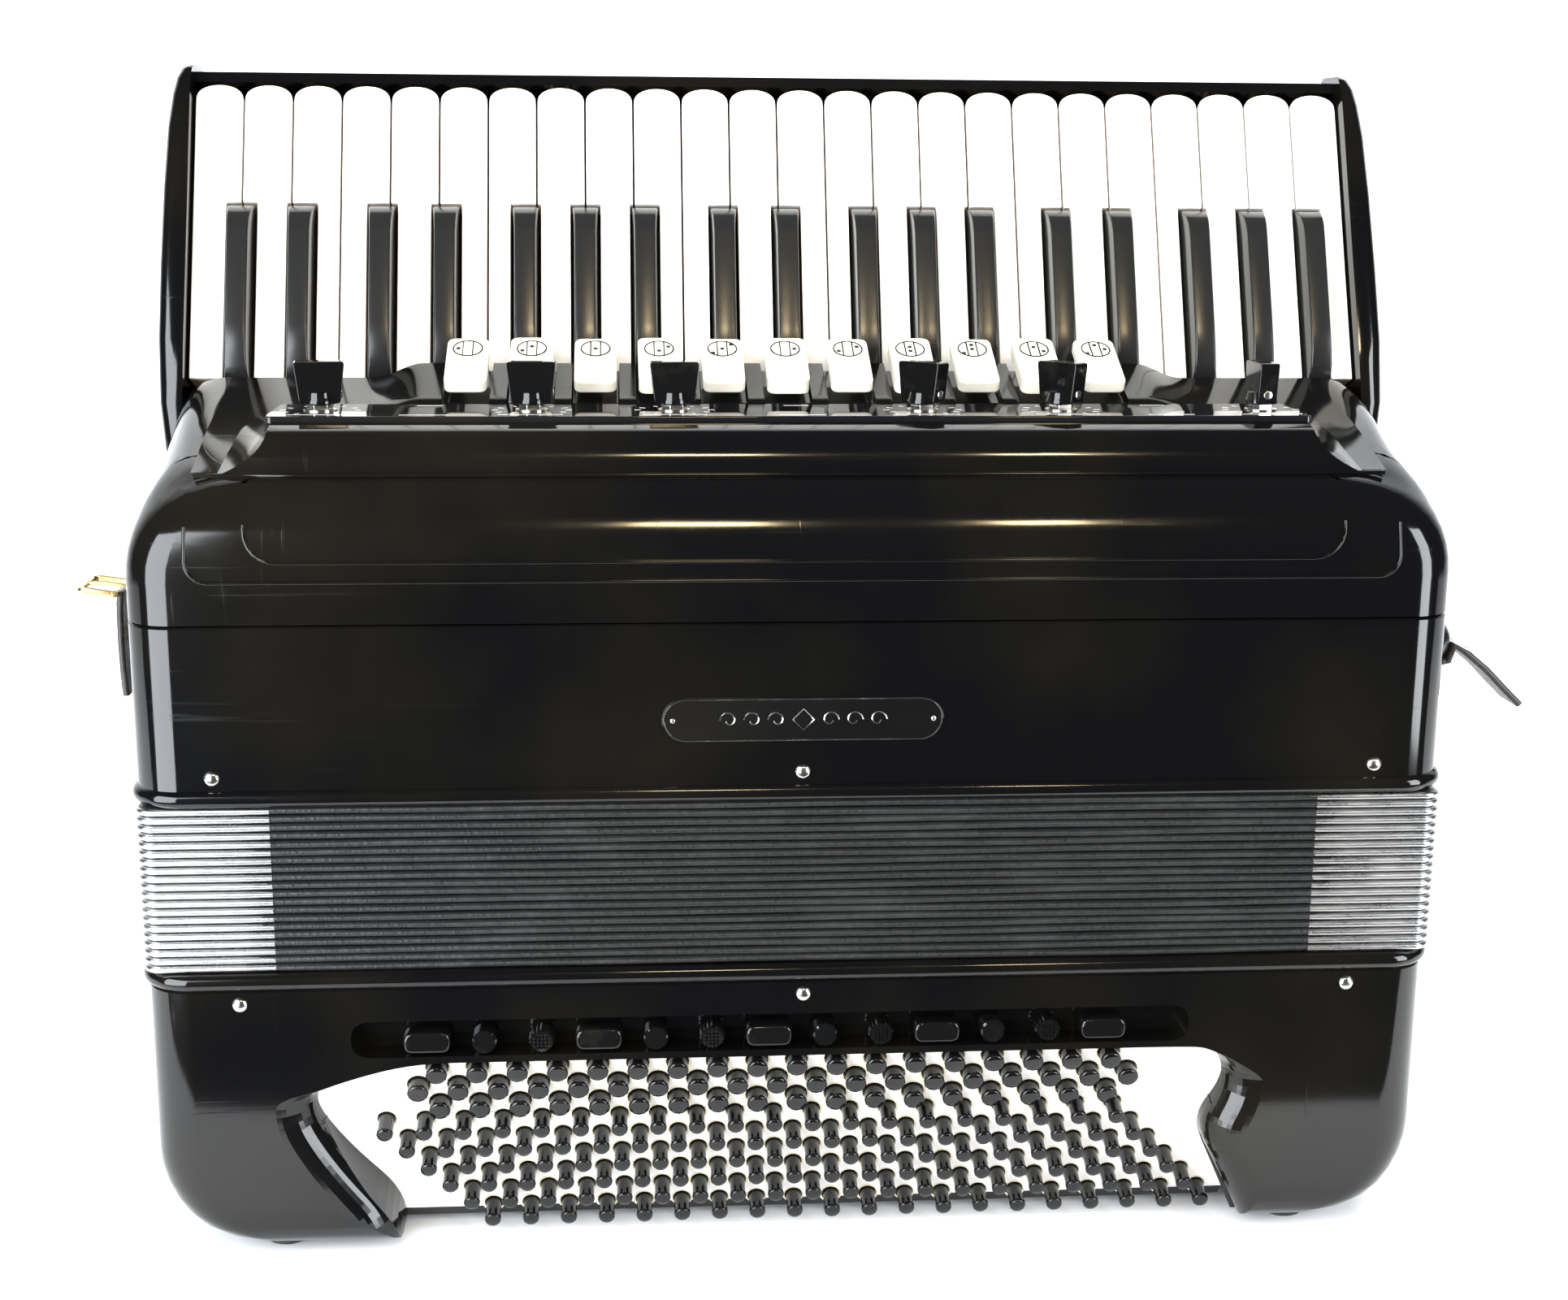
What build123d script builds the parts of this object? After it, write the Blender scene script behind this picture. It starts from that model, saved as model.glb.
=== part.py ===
"""Full-size piano accordion, 41 treble keys, 120 Stradella and 55 free-bass buttons, bellows closed.

It stands on its bass feet.  While modelling, X runs along the keyboard from the middle of the body,
Y runs back from the front face of the cases, and Z runs up from the soles of the feet.  On export every
node is moved so that the origin is below the middle of the whole object's box.
"""
from build123d import *
import math
import os

# ---- driving dimensions (mm) -------------------------------------------------------------
CASE_W = 499.0            # cases, side to side
CASE_D = 190.0            # cases, front to back
CASE_R = 18.0             # upright corner radius of both cases
WALL = 6.0                # case walls
FRAME_PROUD = 2.5         # how far the bellows frames stand out of the cases
FRAME_H = 7.0             # height of one bellows frame
BASS_BOTTOM = 5.0         # lowest point of the bass case above the soles
BASS_TOP = 115.0          # bass case to bass frame
BELLOWS_H = 65.0          # closed bellows between the two frames
TREBLE_H = 62.0           # treble case, frame to cover seam
FIT = 0.3                 # clearance between pieces that move past each other

# bass end
BASS_CORNER_R = 42.0      # big lower corners seen from the front
BASS_EDGE_R = 16.0        # lower front and back edges seen from the side
BOARD_TILT = 18.0         # button board leans back under itself, degrees from upright
BOARD_TOP_Y = 6.0         # depth of the board's face at its top edge
BOARD_TOP_Z = 82.0
BOARD_T = 3.0
BOARD_SPLIT = 26.5        # where the free-bass board meets the Stradella board
BOARD_BOTTOM = 80.0       # length of the board face down its slope
CHANNEL_H = 17.0          # groove of the bass register switches
CHANNEL_DEPTH = 14.0
BUTTON_TRAVEL = 4.0
STRADELLA_PITCH = 15.2
FREE_PITCH = 15.5
ROW_STEP = 9.35           # row to row down the board
ROW_SHIFT = 8.0           # sideways step of one Stradella row to the next
STRADELLA_R = 3.3
FREE_R = 4.2
STRADELLA_OUT = 10.0
FREE_OUT = 6.0
COVER_Z = 20.0            # underside of the end cover above the soles
COVER_T = 3.0
COVER_FRONT = 43.0        # front edge of the end cover, behind the buttons' stems
WHEEL_Z = 62.0            # height of the strap's tightening wheel
WHEEL_SHAFT_R = 2.5
AIR_BUTTON_AT = (-CASE_W / 2, 120.0, 78.0)
AIR_STEM_R = 3.0
AIR_TRAVEL = 3.0
STRAP_W = 78.0
STRAP_T = 3.2
FOOT_R = 9.0

# treble end
COVER_WALL = 3.0
PANEL_Z = 328.0           # top of the control panel
PANEL_FRONT = 39.0
PANEL_BACK = 82.0
PANEL_T = 3.0
PANEL_HALF_W = 200.0
STEP_Y = 20.0             # step between the cover's curved front and the panel block
STEP_Z = 308.0
CURVE_Z = 271.0           # where the cover's front starts to curve back
COVER_BACK = 117.0        # rear edge of the cover, at the keys
COVER_BACK_Z = 335.0      # its height at the ends of the keyboard
PLATEAU_RISE = 6.0        # extra height of the middle part
PLATEAU_HALF_W = 150.0
SHOULDER_R = 30.0

# keyboard
KEY_TILT = 22.2           # key tops lean back from upright, degrees
KEY_ROOT_Y = 124.0
KEY_ROOT_Z = 333.0
WHITE_COUNT = 24
WHITE_PITCH = 20.4
WHITE_GAP = 0.6
WHITE_LEN = 129.0
KEY_T = 12.0
TIP_R = 9.0
BLACK_W = 11.0
BLACK_LEN = 76.0
BLACK_PROUD = 10.0
BLACK_GAP = 1.0
LEVER_W = 7.0
AXLE_S = -40.0            # key axle, measured down the key from its root
AXLE_DEPTH = 8.0
AXLE_R = 1.5
KEY_TRAVEL = 5.5          # at the tip of a white key
KEYBOARD_BACK = 196.0
CHEEK_PROUD = 9.0
CHEEK_OUT = 256.0

# switches, knobs and fittings
SWITCH_COUNT = 11
SWITCH_PITCH = 25.8
SWITCH_SIZE = (16.0, 33.0, 5.5)
SWITCH_TILT = 26.0
SWITCH_AT = (101.0, 341.5)
KNOB_X = (-182.5, -101.6, -46.5, 50.9, 105.8, 186.0)
KNOB_Y = 60.5
KNOB_H = 16.5
KNOB_W = 19.0
KNOB_T = 8.5
NUT_H = 2.2
LEFT_REACH = CASE_W / 2 + 26.5        # how far the side fittings stick out
RIGHT_REACH = CASE_W / 2 + 50.5

# ---- worked out ----------------------------------------------------------------------------
BASS_FRAME_Z = BASS_TOP
BELLOWS_Z = BASS_FRAME_Z + FRAME_H
TREBLE_FRAME_Z = BELLOWS_Z + BELLOWS_H
TREBLE_Z = TREBLE_FRAME_Z + FRAME_H
SEAM_Z = TREBLE_Z + TREBLE_H
HALF_W = CASE_W / 2
ORIGIN_X = (RIGHT_REACH - LEFT_REACH) / 2
ORIGIN_Y = (KEYBOARD_BACK - FRAME_PROUD) / 2
KEYS_HALF_W = WHITE_COUNT * WHITE_PITCH / 2
TILT = math.radians(KEY_TILT)
LEAN = math.radians(BOARD_TILT)

# note names of the white keys, from the high end (-X) to the low end (+X)
OCTAVE_DOWN = "BAGFEDC"
WHITE_NOTES = [OCTAVE_DOWN[(i + 1) % 7] for i in range(WHITE_COUNT)]
# black keys: the white pair that they lie between, their note, and their offset from the joint
BLACK_BETWEEN = {"BA": ("a_sharp", -4.6), "AG": ("g_sharp", 0.0), "GF": ("f_sharp", 4.6),
                 "ED": ("d_sharp", -3.1), "DC": ("c_sharp", 3.1)}


# ---- helpers -------------------------------------------------------------------------------
def box(x0, x1, y0, y1, z0, z1):
    """Block between two corners."""
    return Pos((x0 + x1) / 2, (y0 + y1) / 2, (z0 + z1) / 2) * Box(x1 - x0, y1 - y0, z1 - z0)


def plan_block(half_w, y0, y1, radius, z0, z1):
    """Upright block with rounded upright corners."""
    outline = RectangleRounded(2 * half_w, y1 - y0, radius)
    return extrude(Pos(0, (y0 + y1) / 2, z0) * outline, z1 - z0)


def side_prism(points, half_w, radius=0.0):
    """Block along X whose outline is given as (Y, Z) points."""
    outline = Plane.YZ * make_face(Polyline(*points, close=True))
    if radius:
        outline = fillet(outline.vertices(), radius)
    return extrude(outline, half_w, both=True)


def key_point(s, depth):
    """(Y, Z) of a point s up the key plane from its root and depth behind it."""
    y = KEY_ROOT_Y + s * math.sin(TILT) + depth * math.cos(TILT)
    z = KEY_ROOT_Z + s * math.cos(TILT) - depth * math.sin(TILT)
    return y, z


def key_plane(depth=0.0):
    """Sketch plane on the key tops: x along +X, y up the keys, normal away from the keyboard."""
    y, z = key_point(0, depth)
    return Plane(origin=(0, y, z), x_dir=(1, 0, 0), z_dir=(0, -math.cos(TILT), math.sin(TILT)))


def board_plane(depth=0.0):
    """Sketch plane on the button board: x along +X, y up the slope, normal out of the board."""
    y = BOARD_TOP_Y + depth * math.cos(LEAN)
    z = BOARD_TOP_Z + depth * math.sin(LEAN)
    return Plane(origin=(0, y, z), x_dir=(1, 0, 0), z_dir=(0, -math.cos(LEAN), -math.sin(LEAN)))


def board_point(s):
    """(Y, Z) of a point s down the board's face from its top edge."""
    return BOARD_TOP_Y + s * math.sin(LEAN), BOARD_TOP_Z - s * math.cos(LEAN)


def board_back(s):
    """(Y, Z) of the point behind board_point(s), on the back of the board."""
    y, z = board_point(s)
    return y + BOARD_T * math.cos(LEAN), z + BOARD_T * math.sin(LEAN)


def group(shapes):
    """Separate solids kept together in one node."""
    return Compound([solid for shape in shapes for solid in shape.solids()])


# ---- bass end ------------------------------------------------------------------------------
def board_outline(grow=0.0):
    """Face of the button boards in board coordinates: wavy ends, straight top and bottom."""
    left = [(-151 - grow, 2 + grow), (-184 - grow, -8), (-188 - grow, -20), (-176 - grow, -42),
            (-156 - grow, -68), (-157 - grow, -BOARD_BOTTOM - 12)]
    right = [(189 + grow, -BOARD_BOTTOM - 12), (172 + grow, -61), (161 + grow, -38),
             (171 + grow, -16), (164 + grow, -2), (147 + grow, 2 + grow)]
    edges = [Spline(*left), Line(left[-1], right[0]), Spline(*right), Line(right[-1], left[0])]
    return make_face(Wire(edges))


def front_outline(half_w, z0, corner_r, z1):
    """Front view of the bass case: straight sides and big lower corners."""
    with BuildSketch() as sketch:
        with Locations((0, (z0 + z1) / 2)):
            Rectangle(2 * half_w, z1 - z0)
        fillet(sketch.vertices().sort_by(Axis.Y)[:2], corner_r)
    return Plane.XZ * sketch.sketch


def bass_shape(inset=0.0):
    """Outer form of the bass case, or the same form smaller all round."""
    half_w = HALF_W - inset
    plan = plan_block(half_w, inset, CASE_D - inset, CASE_R - inset, BASS_BOTTOM, BASS_TOP)
    front = extrude(front_outline(half_w, BASS_BOTTOM + inset, BASS_CORNER_R - inset, BASS_TOP + 9), -CASE_D)
    low, edge = BASS_BOTTOM + inset, BASS_EDGE_R
    side = side_prism([(inset, BASS_TOP + 9), (inset, low + edge), (inset + edge * 0.3, low + edge * 0.3),
                       (inset + edge, low), (CASE_D - inset - edge, low),
                       (CASE_D - inset - edge * 0.3, low + edge * 0.3), (CASE_D - inset, low + edge),
                       (CASE_D - inset, BASS_TOP + 9)], HALF_W)
    return plan & front & side


def bass_case():
    """Shell with the opening for the boards, the groove for the switches and an open end."""
    y_top, z_top = board_point(-1)
    y_low, z_low = board_point(BOARD_BOTTOM + 20)
    behind_board = side_prism([(CHANNEL_DEPTH + WALL, BASS_TOP + 9), (CHANNEL_DEPTH + WALL, z_top + 5),
                               (y_top, z_top), (y_low, z_low), (CASE_D, z_low), (CASE_D, BASS_TOP + 9)], HALF_W)
    cavity = plan_block(HALF_W - WALL, WALL, CASE_D - WALL, CASE_R - WALL, COVER_Z, BASS_TOP + 1)
    rounded = bass_shape(WALL) + box(-HALF_W + WALL, HALF_W - WALL, WALL, CASE_D - WALL, BASS_TOP - 1, BASS_TOP + 1)
    body = bass_shape() - (cavity & behind_board & rounded)
    opening = extrude(board_plane() * board_outline(), 70)
    groove_mid = (BOARD_TOP_Z + CHANNEL_H / 2 - 10, -12)
    groove = Plane.XZ * Pos(groove_mid[1], groove_mid[0]) * RectangleRounded(326, CHANNEL_H + 20, 12)
    body -= opening
    body -= board_plate()
    body -= extrude(groove, -CHANNEL_DEPTH)
    end_well = plan_block(HALF_W - 34, COVER_FRONT - 0.5, CASE_D - 14, 2, -1, COVER_Z + 1)
    stem_room = side_prism([board_back(64), board_back(90), (COVER_FRONT + 5, -1), (COVER_FRONT + 5, COVER_Z + 1)], 170)
    hand_cut = box(-165, 165, CASE_D - 30, CASE_D + 1, -1, COVER_Z - 2)
    body -= end_well
    body -= stem_room
    body -= hand_cut
    body -= box(-165, 165, -1, 40, -1, BASS_BOTTOM + 1)
    body -= Pos(HALF_W, (COVER_FRONT + CASE_D) / 2, WHEEL_Z) * Rot(0, 90, 0) * Cylinder(WHEEL_SHAFT_R + FIT, 40)
    body -= Pos(*AIR_BUTTON_AT) * Rot(0, 90, 0) * Cylinder(AIR_STEM_R + FIT, 40)
    for x, z in bass_switch_places():
        body -= box(x - 3, x + 3, CHANNEL_DEPTH - 1, CHANNEL_DEPTH + WALL + 1, z - 3, z + 3)
    return body


def bass_end_cover():
    """Flat door over the bass mechanism, with air holes and a turned-down front lip."""
    plate = box(-HALF_W + 34.5, HALF_W - 34.5, COVER_FRONT, CASE_D - 14.5, COVER_Z, COVER_Z + COVER_T)
    lip = box(-150, 160, COVER_FRONT, COVER_FRONT + COVER_T, BASS_BOTTOM - 1, COVER_Z)
    holes = Locations([(x, y) for x in range(-150, 151, 60) for y in (75, 150)])
    cut = [Pos(place.position.X, place.position.Y, COVER_Z + 1) * Cylinder(4, 12) for place in holes.locations]
    return plate + lip - cut


def frame_ring(z):
    """Moulded ring that holds one end of the bellows."""
    outer = plan_block(HALF_W + FRAME_PROUD, -FRAME_PROUD, CASE_D + FRAME_PROUD, CASE_R + 2, z, z + FRAME_H)
    outer = fillet(outer.edges().group_by(Axis.Z)[0] + outer.edges().group_by(Axis.Z)[-1], 1.8)
    inner = plan_block(HALF_W - 2 * WALL, 2 * WALL, CASE_D - 2 * WALL, CASE_R, z - 1, z + FRAME_H + 1)
    return outer - inner


def button(radius, out, dome):
    """One button standing on a plane: stem, body and a slightly domed cap."""
    stem = Pos(0, 0, -BOARD_T / 2) * Cylinder(radius * 0.55, BOARD_T + 7)
    cap = Pos(0, 0, out - dome / 2 - 1) * Cylinder(radius, dome + 2)
    neck = Pos(0, 0, out / 2) * Cylinder(radius * 0.86, out - 1.5)
    body = stem + neck + cap
    return fillet(body.edges().group_by(Axis.Z)[-1], 0.9)


def button_row(first_x, count, pitch, s, radius, out):
    """One row of buttons on the board; they are separate solids."""
    one = button(radius, out, 1.2)
    places = [board_plane() * Pos(first_x + i * pitch, -s, BUTTON_TRAVEL * 0.1) for i in range(count)]
    return group([place * one for place in places])


def row_table():
    """Name, first X, count, pitch, distance down the board, radius and height of every row."""
    rows = []
    for name, x, s, count in (("free_bass_row_1", -140.4, 2.3, 18), ("free_bass_row_2", -148.0, 11.2, 19),
                              ("free_bass_row_3", -140.0, 20.3, 18)):
        rows.append((name, x, count, FREE_PITCH, s, FREE_R, FREE_OUT))
    names = ("counterbass", "bass_note", "major_chord", "minor_chord", "seventh_chord", "diminished_chord")
    for i, name in enumerate(names):
        rows.append((name + "_buttons", -161.4 + i * ROW_SHIFT, 20, STRADELLA_PITCH, 28.4 + i * ROW_STEP,
                     STRADELLA_R, STRADELLA_OUT))
    return rows


def board_plate():
    """Both boards as one plate, before they are parted and drilled."""
    plate = extrude(board_plane(BOARD_T) * board_outline(8.0), BOARD_T)
    return plate & box(-HALF_W + 40, HALF_W - 40, 0, CASE_D, BASS_BOTTOM + 0.5, BOARD_TOP_Z + 3)


def boards():
    """The two button boards behind the opening, drilled for every button."""
    plate = board_plate()
    split = extrude(board_plane(BOARD_T + 5) * Pos(0, -BOARD_SPLIT + 50) * Rectangle(CASE_W, 100), 20)
    free, stradella = plate & split, plate - split
    for name, x, count, pitch, s, radius, _ in row_table():
        drill = Pos(0, 0, -BOARD_T - 1) * Cylinder(radius + FIT, 12)
        holes = [board_plane() * Pos(x + i * pitch, -s) * drill for i in range(count)]
        if name.startswith("free"):
            free -= holes
        else:
            stradella -= holes
        if name == "counterbass_buttons":
            free -= holes
    return free, stradella


def bass_switch_places():
    """X and Z of the thirteen bass register switches: bar, smooth and knurled in turn."""
    return [(-143.5 + i * 21.9, 92.0) for i in range(13)]


def bass_switches():
    """Thirteen short push switches in their groove; every third one from the first is a wide bar."""
    solids = []
    for i, (x, z) in enumerate(bass_switch_places()):
        stem = box(x - 2.5, x + 2.5, 4, CHANNEL_DEPTH + WALL + 3, z - 2.5, z + 2.5)
        if i % 3 == 0:
            head = Plane.XZ * Pos(x, z) * RectangleRounded(18, 9, 4)
        else:
            head = Plane.XZ * Pos(x, z) * Circle(4.8)
        cap = Pos(0, 9.0, 0) * extrude(head, 9.0)
        solids.append(fillet(cap.edges().group_by(Axis.Y)[0], 1.0) + stem)
    return group(solids)


def bass_strap():
    """Wide leather hand strap below the end cover, with turned-up ends."""
    y_mid = (COVER_FRONT + CASE_D) / 2
    level = box(-168, 168, y_mid - STRAP_W / 2, y_mid + STRAP_W / 2, 1.0, 1.0 + STRAP_T)
    ends = []
    for side in (-1, 1):
        rise = extrude(Plane.XZ * make_face(Polyline((side * 168, 1.0), (side * 185, COVER_Z - 3.2),
                                                     (side * 185, COVER_Z), (side * 180, COVER_Z),
                                                     (side * 166, 1.0 + STRAP_T), close=True)), -STRAP_W)
        ends.append(Pos(0, y_mid - STRAP_W / 2, 0) * rise)
    return level + ends


def strap_anchors():
    """Plates that clamp the hand strap to the end cover."""
    y_mid = (COVER_FRONT + CASE_D) / 2
    plates = [box(x - 10, x + 10, y_mid - 30, y_mid + 30, COVER_Z - 2.5, COVER_Z) for x in (-198, 198)]
    return group(plates)


def strap_wheel():
    """Knurled wheel on the side of the bass case that tightens the hand strap."""
    y_mid = (COVER_FRONT + CASE_D) / 2
    wheel = Pos(HALF_W + 0.5 + 3, y_mid, WHEEL_Z) * Rot(0, 90, 0) * Cylinder(11, 6)
    shaft = Pos(HALF_W - 6, y_mid, WHEEL_Z) * Rot(0, 90, 0) * Cylinder(WHEEL_SHAFT_R, 16)
    return wheel + shaft


def air_button():
    """Push button of the air valve, on the other side of the bass case."""
    x, y, z = AIR_BUTTON_AT
    head = Pos(x - 3.2 - AIR_TRAVEL, y, z) * Rot(0, 90, 0) * Cylinder(7, 6)
    stem = Pos(x + 6, y, z) * Rot(0, 90, 0) * Cylinder(AIR_STEM_R, 24)
    return fillet(head.edges().group_by(Axis.X)[0], 1.5) + stem


def reed_blocks(z0, z1, count, y_from, y_to):
    """Wooden reed blocks standing side by side, each with a row of reed plates' height."""
    pitch = (y_to - y_from) / count
    blocks = [box(-215, 215, y_from + i * pitch + 4, y_from + (i + 1) * pitch - 4, z0, z1) for i in range(count)]
    return group(blocks)


def sound_board(z, t):
    """Wooden plate across the case, with rows of reed holes."""
    y_front = CHANNEL_DEPTH + WALL + 1
    plate = plan_block(HALF_W - WALL, y_front, CASE_D - WALL, CASE_R - WALL, z, z + t)
    slots = [box(x - 4, x + 4, y - 8, y + 8, z - 1, z + t + 1) for x in range(-200, 201, 25) for y in (60, 105, 150)]
    return plate - slots


def bellows():
    """Closed bellows as a hollow block; the folds open along Z."""
    outer = plan_block(HALF_W - 0.5, 0.5, CASE_D - 0.5, 3.0, BELLOWS_Z, TREBLE_FRAME_Z)
    inner = plan_block(HALF_W - 24, 24, CASE_D - 24, 3.0, BELLOWS_Z - 1, TREBLE_FRAME_Z + 1)
    return outer - inner


def pin_row(z, xs):
    """Domed pins that lock a bellows frame to its case, front and back."""
    pins = []
    for x in xs:
        pins.append(Pos(x, 0, z) * Rot(90, 0, 0) * Cone(2.9, 1.2, 2.2, align=(Align.CENTER, Align.CENTER, Align.MIN)))
        pins.append(Pos(x, CASE_D, z) * Rot(-90, 0, 0) * Cone(2.9, 1.2, 2.2, align=(Align.CENTER, Align.CENTER, Align.MIN)))
    return group(pins)


# ---- treble end ------------------------------------------------------------------------------
def treble_case():
    """Rounded box open to the bellows below and to the cover above."""
    outer = plan_block(HALF_W, 0, CASE_D, CASE_R, TREBLE_Z, SEAM_Z)
    inner = plan_block(HALF_W - WALL, WALL, CASE_D - WALL, CASE_R - WALL, TREBLE_Z - 1, SEAM_Z + 1)
    return outer - inner


def cover_profile(inset):
    """Side view of the cover's full-width part, as (Y, Z) points with the curve worked out."""
    rise, depth = STEP_Z - CURVE_Z + 6, 30.0
    points = [(inset, SEAM_Z - (1 if inset else 0)), (inset, CURVE_Z)]
    for i in range(1, 9):
        angle = math.radians(i * 7.5)
        points.append((inset + depth * (1 - math.cos(angle)), CURVE_Z + (rise - inset) * math.sin(angle)))
    points.append((STEP_Y + 4 + inset, STEP_Z - inset))
    points.append((COVER_BACK + inset, COVER_BACK_Z - inset))
    points.append((COVER_BACK + inset, SEAM_Z - (1 if inset else 0)))
    return points


def shoulder_limit(inset):
    """Front view of the cover: upright sides and rounded shoulders, extruded along Y."""
    half_w, top = HALF_W - inset, COVER_BACK_Z + PLATEAU_RISE + 3
    outline = make_face(Polyline((-half_w, SEAM_Z - 2), (-half_w, 298), (-half_w + 8, 316), (-half_w + 24, 332),
                                 (-half_w + 40, top), (half_w - 40, top), (half_w - 24, 332), (half_w - 8, 316),
                                 (half_w, 298), (half_w, SEAM_Z - 2), close=True))
    return extrude(Plane.XZ * outline, -CASE_D)


def cover_solid(inset):
    """Cover with its raised panel block and middle plateau, or the space inside it."""
    base = side_prism(cover_profile(inset), HALF_W - inset)
    block = side_prism([(STEP_Y + 2 + inset, STEP_Z - 14), (STEP_Y + 2 + inset, STEP_Z - inset),
                        (PANEL_FRONT + inset * 0.7, PANEL_Z - PANEL_T - inset),
                        (PANEL_BACK, PANEL_Z - PANEL_T - inset), (PANEL_BACK, STEP_Z - 14)], 206 - inset)
    plateau = side_prism([(PANEL_BACK - 4, STEP_Z - 10), (PANEL_BACK + 2, PANEL_Z - inset),
                          (COVER_BACK + inset, COVER_BACK_Z + PLATEAU_RISE - inset),
                          (COVER_BACK + inset, STEP_Z - 10)], PLATEAU_HALF_W - inset)
    plan = plan_block(HALF_W - inset, inset, 2 * CASE_D, CASE_R - inset, SEAM_Z - 2, COVER_BACK_Z + 20)
    return (base + block + plateau) & plan & shoulder_limit(inset)


def switch_places():
    """X of the eleven treble register switches."""
    return [(i - (SWITCH_COUNT - 1) / 2) * SWITCH_PITCH for i in range(SWITCH_COUNT)]


def grille():
    """Glossy cover over the treble valves, with slots for the switches and holes for the knob shafts."""
    shell = cover_solid(0.0) - cover_solid(COVER_WALL)
    slots = [box(x - 6, x + 6, SWITCH_AT[0] - 7, SWITCH_AT[0] + 7, 300, 360) for x in switch_places()]
    holes = [Pos(x, KNOB_Y, PANEL_Z) * Cylinder(4.2, 40) for x in KNOB_X]
    key_room = side_prism([key_point(-60, -2.5), key_point(30, -2.5), key_point(30, 60), key_point(-60, 60)],
                          KEYS_HALF_W + 1.2)
    return shell - slots - holes - key_room


def register_switches():
    """Eleven tilted tabs with a stem that passes through the cover."""
    wide, long, thick = SWITCH_SIZE
    solids = []
    for x in switch_places():
        tab = Rot(SWITCH_TILT, 0, 0) * Box(wide, long, thick)
        tab = fillet(tab.edges().filter_by(Axis.X, reverse=True), 1.6)
        stem = box(-4, 4, -5, 5, -22, 0)
        solids.append(Pos(x, SWITCH_AT[0], SWITCH_AT[1]) * (tab + stem))
    return group(solids)


def control_panel():
    """Flat plate with concave ends that carries the six controls."""
    y_mid = (PANEL_FRONT + PANEL_BACK) / 2
    half_d = (PANEL_BACK - PANEL_FRONT) / 2
    plate = box(-PANEL_HALF_W, PANEL_HALF_W, PANEL_FRONT, PANEL_BACK, PANEL_Z - PANEL_T, PANEL_Z)
    bites = [Pos(side * (PANEL_HALF_W + 14), y_mid - half_d, PANEL_Z) * Cylinder(20, 3 * PANEL_T) for side in (-1, 1)]
    holes = [Pos(x, KNOB_Y, PANEL_Z) * Cylinder(4.2, 20) for x in KNOB_X]
    return plate - bites - holes


def knob_nuts():
    """Hexagon nuts and washers that hold the controls to the panel."""
    solids = []
    for x in KNOB_X:
        washer = extrude(Pos(x, KNOB_Y, PANEL_Z) * Circle(7.8), 0.6)
        nut = extrude(Pos(x, KNOB_Y, PANEL_Z + 0.6) * RegularPolygon(6.6, 6), NUT_H - 0.6)
        bore = Pos(x, KNOB_Y, PANEL_Z) * Cylinder(3.0 + FIT, 20)
        solids.append(washer + nut - bore)
    return group(solids)


def knob(x):
    """Pointer knob on its shaft."""
    base = PANEL_Z + NUT_H + FIT
    skirt = extrude(Pos(0, 0, base) * Circle(KNOB_W / 2 - 1.5), 4)
    bar = box(-KNOB_W / 2, KNOB_W / 2, -KNOB_T / 2, KNOB_T / 2, base, base + KNOB_H)
    bar = fillet(bar.edges().group_by(Axis.Z)[-1], 1.0)
    shaft = extrude(Pos(0, 0, base - 22) * Circle(3.0), 24)
    return Pos(x, KNOB_Y, 0) * (skirt + bar + shaft)


def keyboard_bed():
    """Hollow wedge behind the keys, ending in the thin ledge past the key tips."""
    floor_depth = KEY_T + 8.0
    tip = WHITE_LEN + 1.5
    low = key_point(-28, floor_depth)
    points = [low, key_point(tip, floor_depth), key_point(tip, 0.5), key_point(tip + 4.5, 0.5),
              (KEYBOARD_BACK, key_point(tip + 4.5, floor_depth)[1] + 4), (KEYBOARD_BACK, SEAM_Z + FIT),
              (CASE_D - WALL - 6, SEAM_Z + FIT)]
    hollow = [(low[0] + 9, low[1] + 2), key_point(tip - 25, floor_depth + 6), (KEYBOARD_BACK - 5, 400),
              (KEYBOARD_BACK - 5, SEAM_Z + 12), (CASE_D - WALL, SEAM_Z + 12)]
    return side_prism(points, KEYS_HALF_W + 0.4) - side_prism(hollow, KEYS_HALF_W - 8)


def keyboard_cheeks():
    """Two bulging end cheeks that run from the treble case to the key tips."""
    top = WHITE_LEN + 6.0
    profile = [(COVER_BACK + FIT, SEAM_Z + FIT), (COVER_BACK + FIT, 322), key_point(-4, -CHEEK_PROUD),
               key_point(top, -CHEEK_PROUD), (KEYBOARD_BACK, key_point(top, 0)[1]), (KEYBOARD_BACK, SEAM_Z + FIT)]
    z_top = key_point(top, -CHEEK_PROUD)[1]
    solids = []
    for side in (-1, 1):
        slab = side_prism(profile, HALF_W + 20)
        inner = KEYS_HALF_W + 0.4
        bulge = ThreePointArc((side * HALF_W, SEAM_Z), (side * CHEEK_OUT, 375), (side * (inner + 3), z_top + 1))
        rest = Polyline((side * (inner + 3), z_top + 1), (side * inner, z_top + 1), (side * inner, SEAM_Z),
                        (side * HALF_W, SEAM_Z))
        outline = make_face(Wire([bulge] + list(rest.edges())))
        solids.append(slab & extrude(Plane.XZ * outline, -CASE_D - 60))
    return group(solids)


def key_axle():
    """Steel rod that all keys turn on, held in both cheeks."""
    y, z = key_point(AXLE_S, AXLE_DEPTH)
    return Pos(0, y, z) * Rot(0, 90, 0) * Cylinder(AXLE_R, 2 * KEYS_HALF_W + 0.8)


def lever(x):
    """Rear arm of one key down to the axle, with its bore."""
    y, z = key_point(AXLE_S, AXLE_DEPTH)
    arm = extrude(key_plane(KEY_T) * Pos(x, -26.5) * Rectangle(LEVER_W, 41), KEY_T - 3)
    return arm - Pos(x, y, z) * Rot(0, 90, 0) * Cylinder(AXLE_R + 0.25, LEVER_W + 2)


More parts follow.
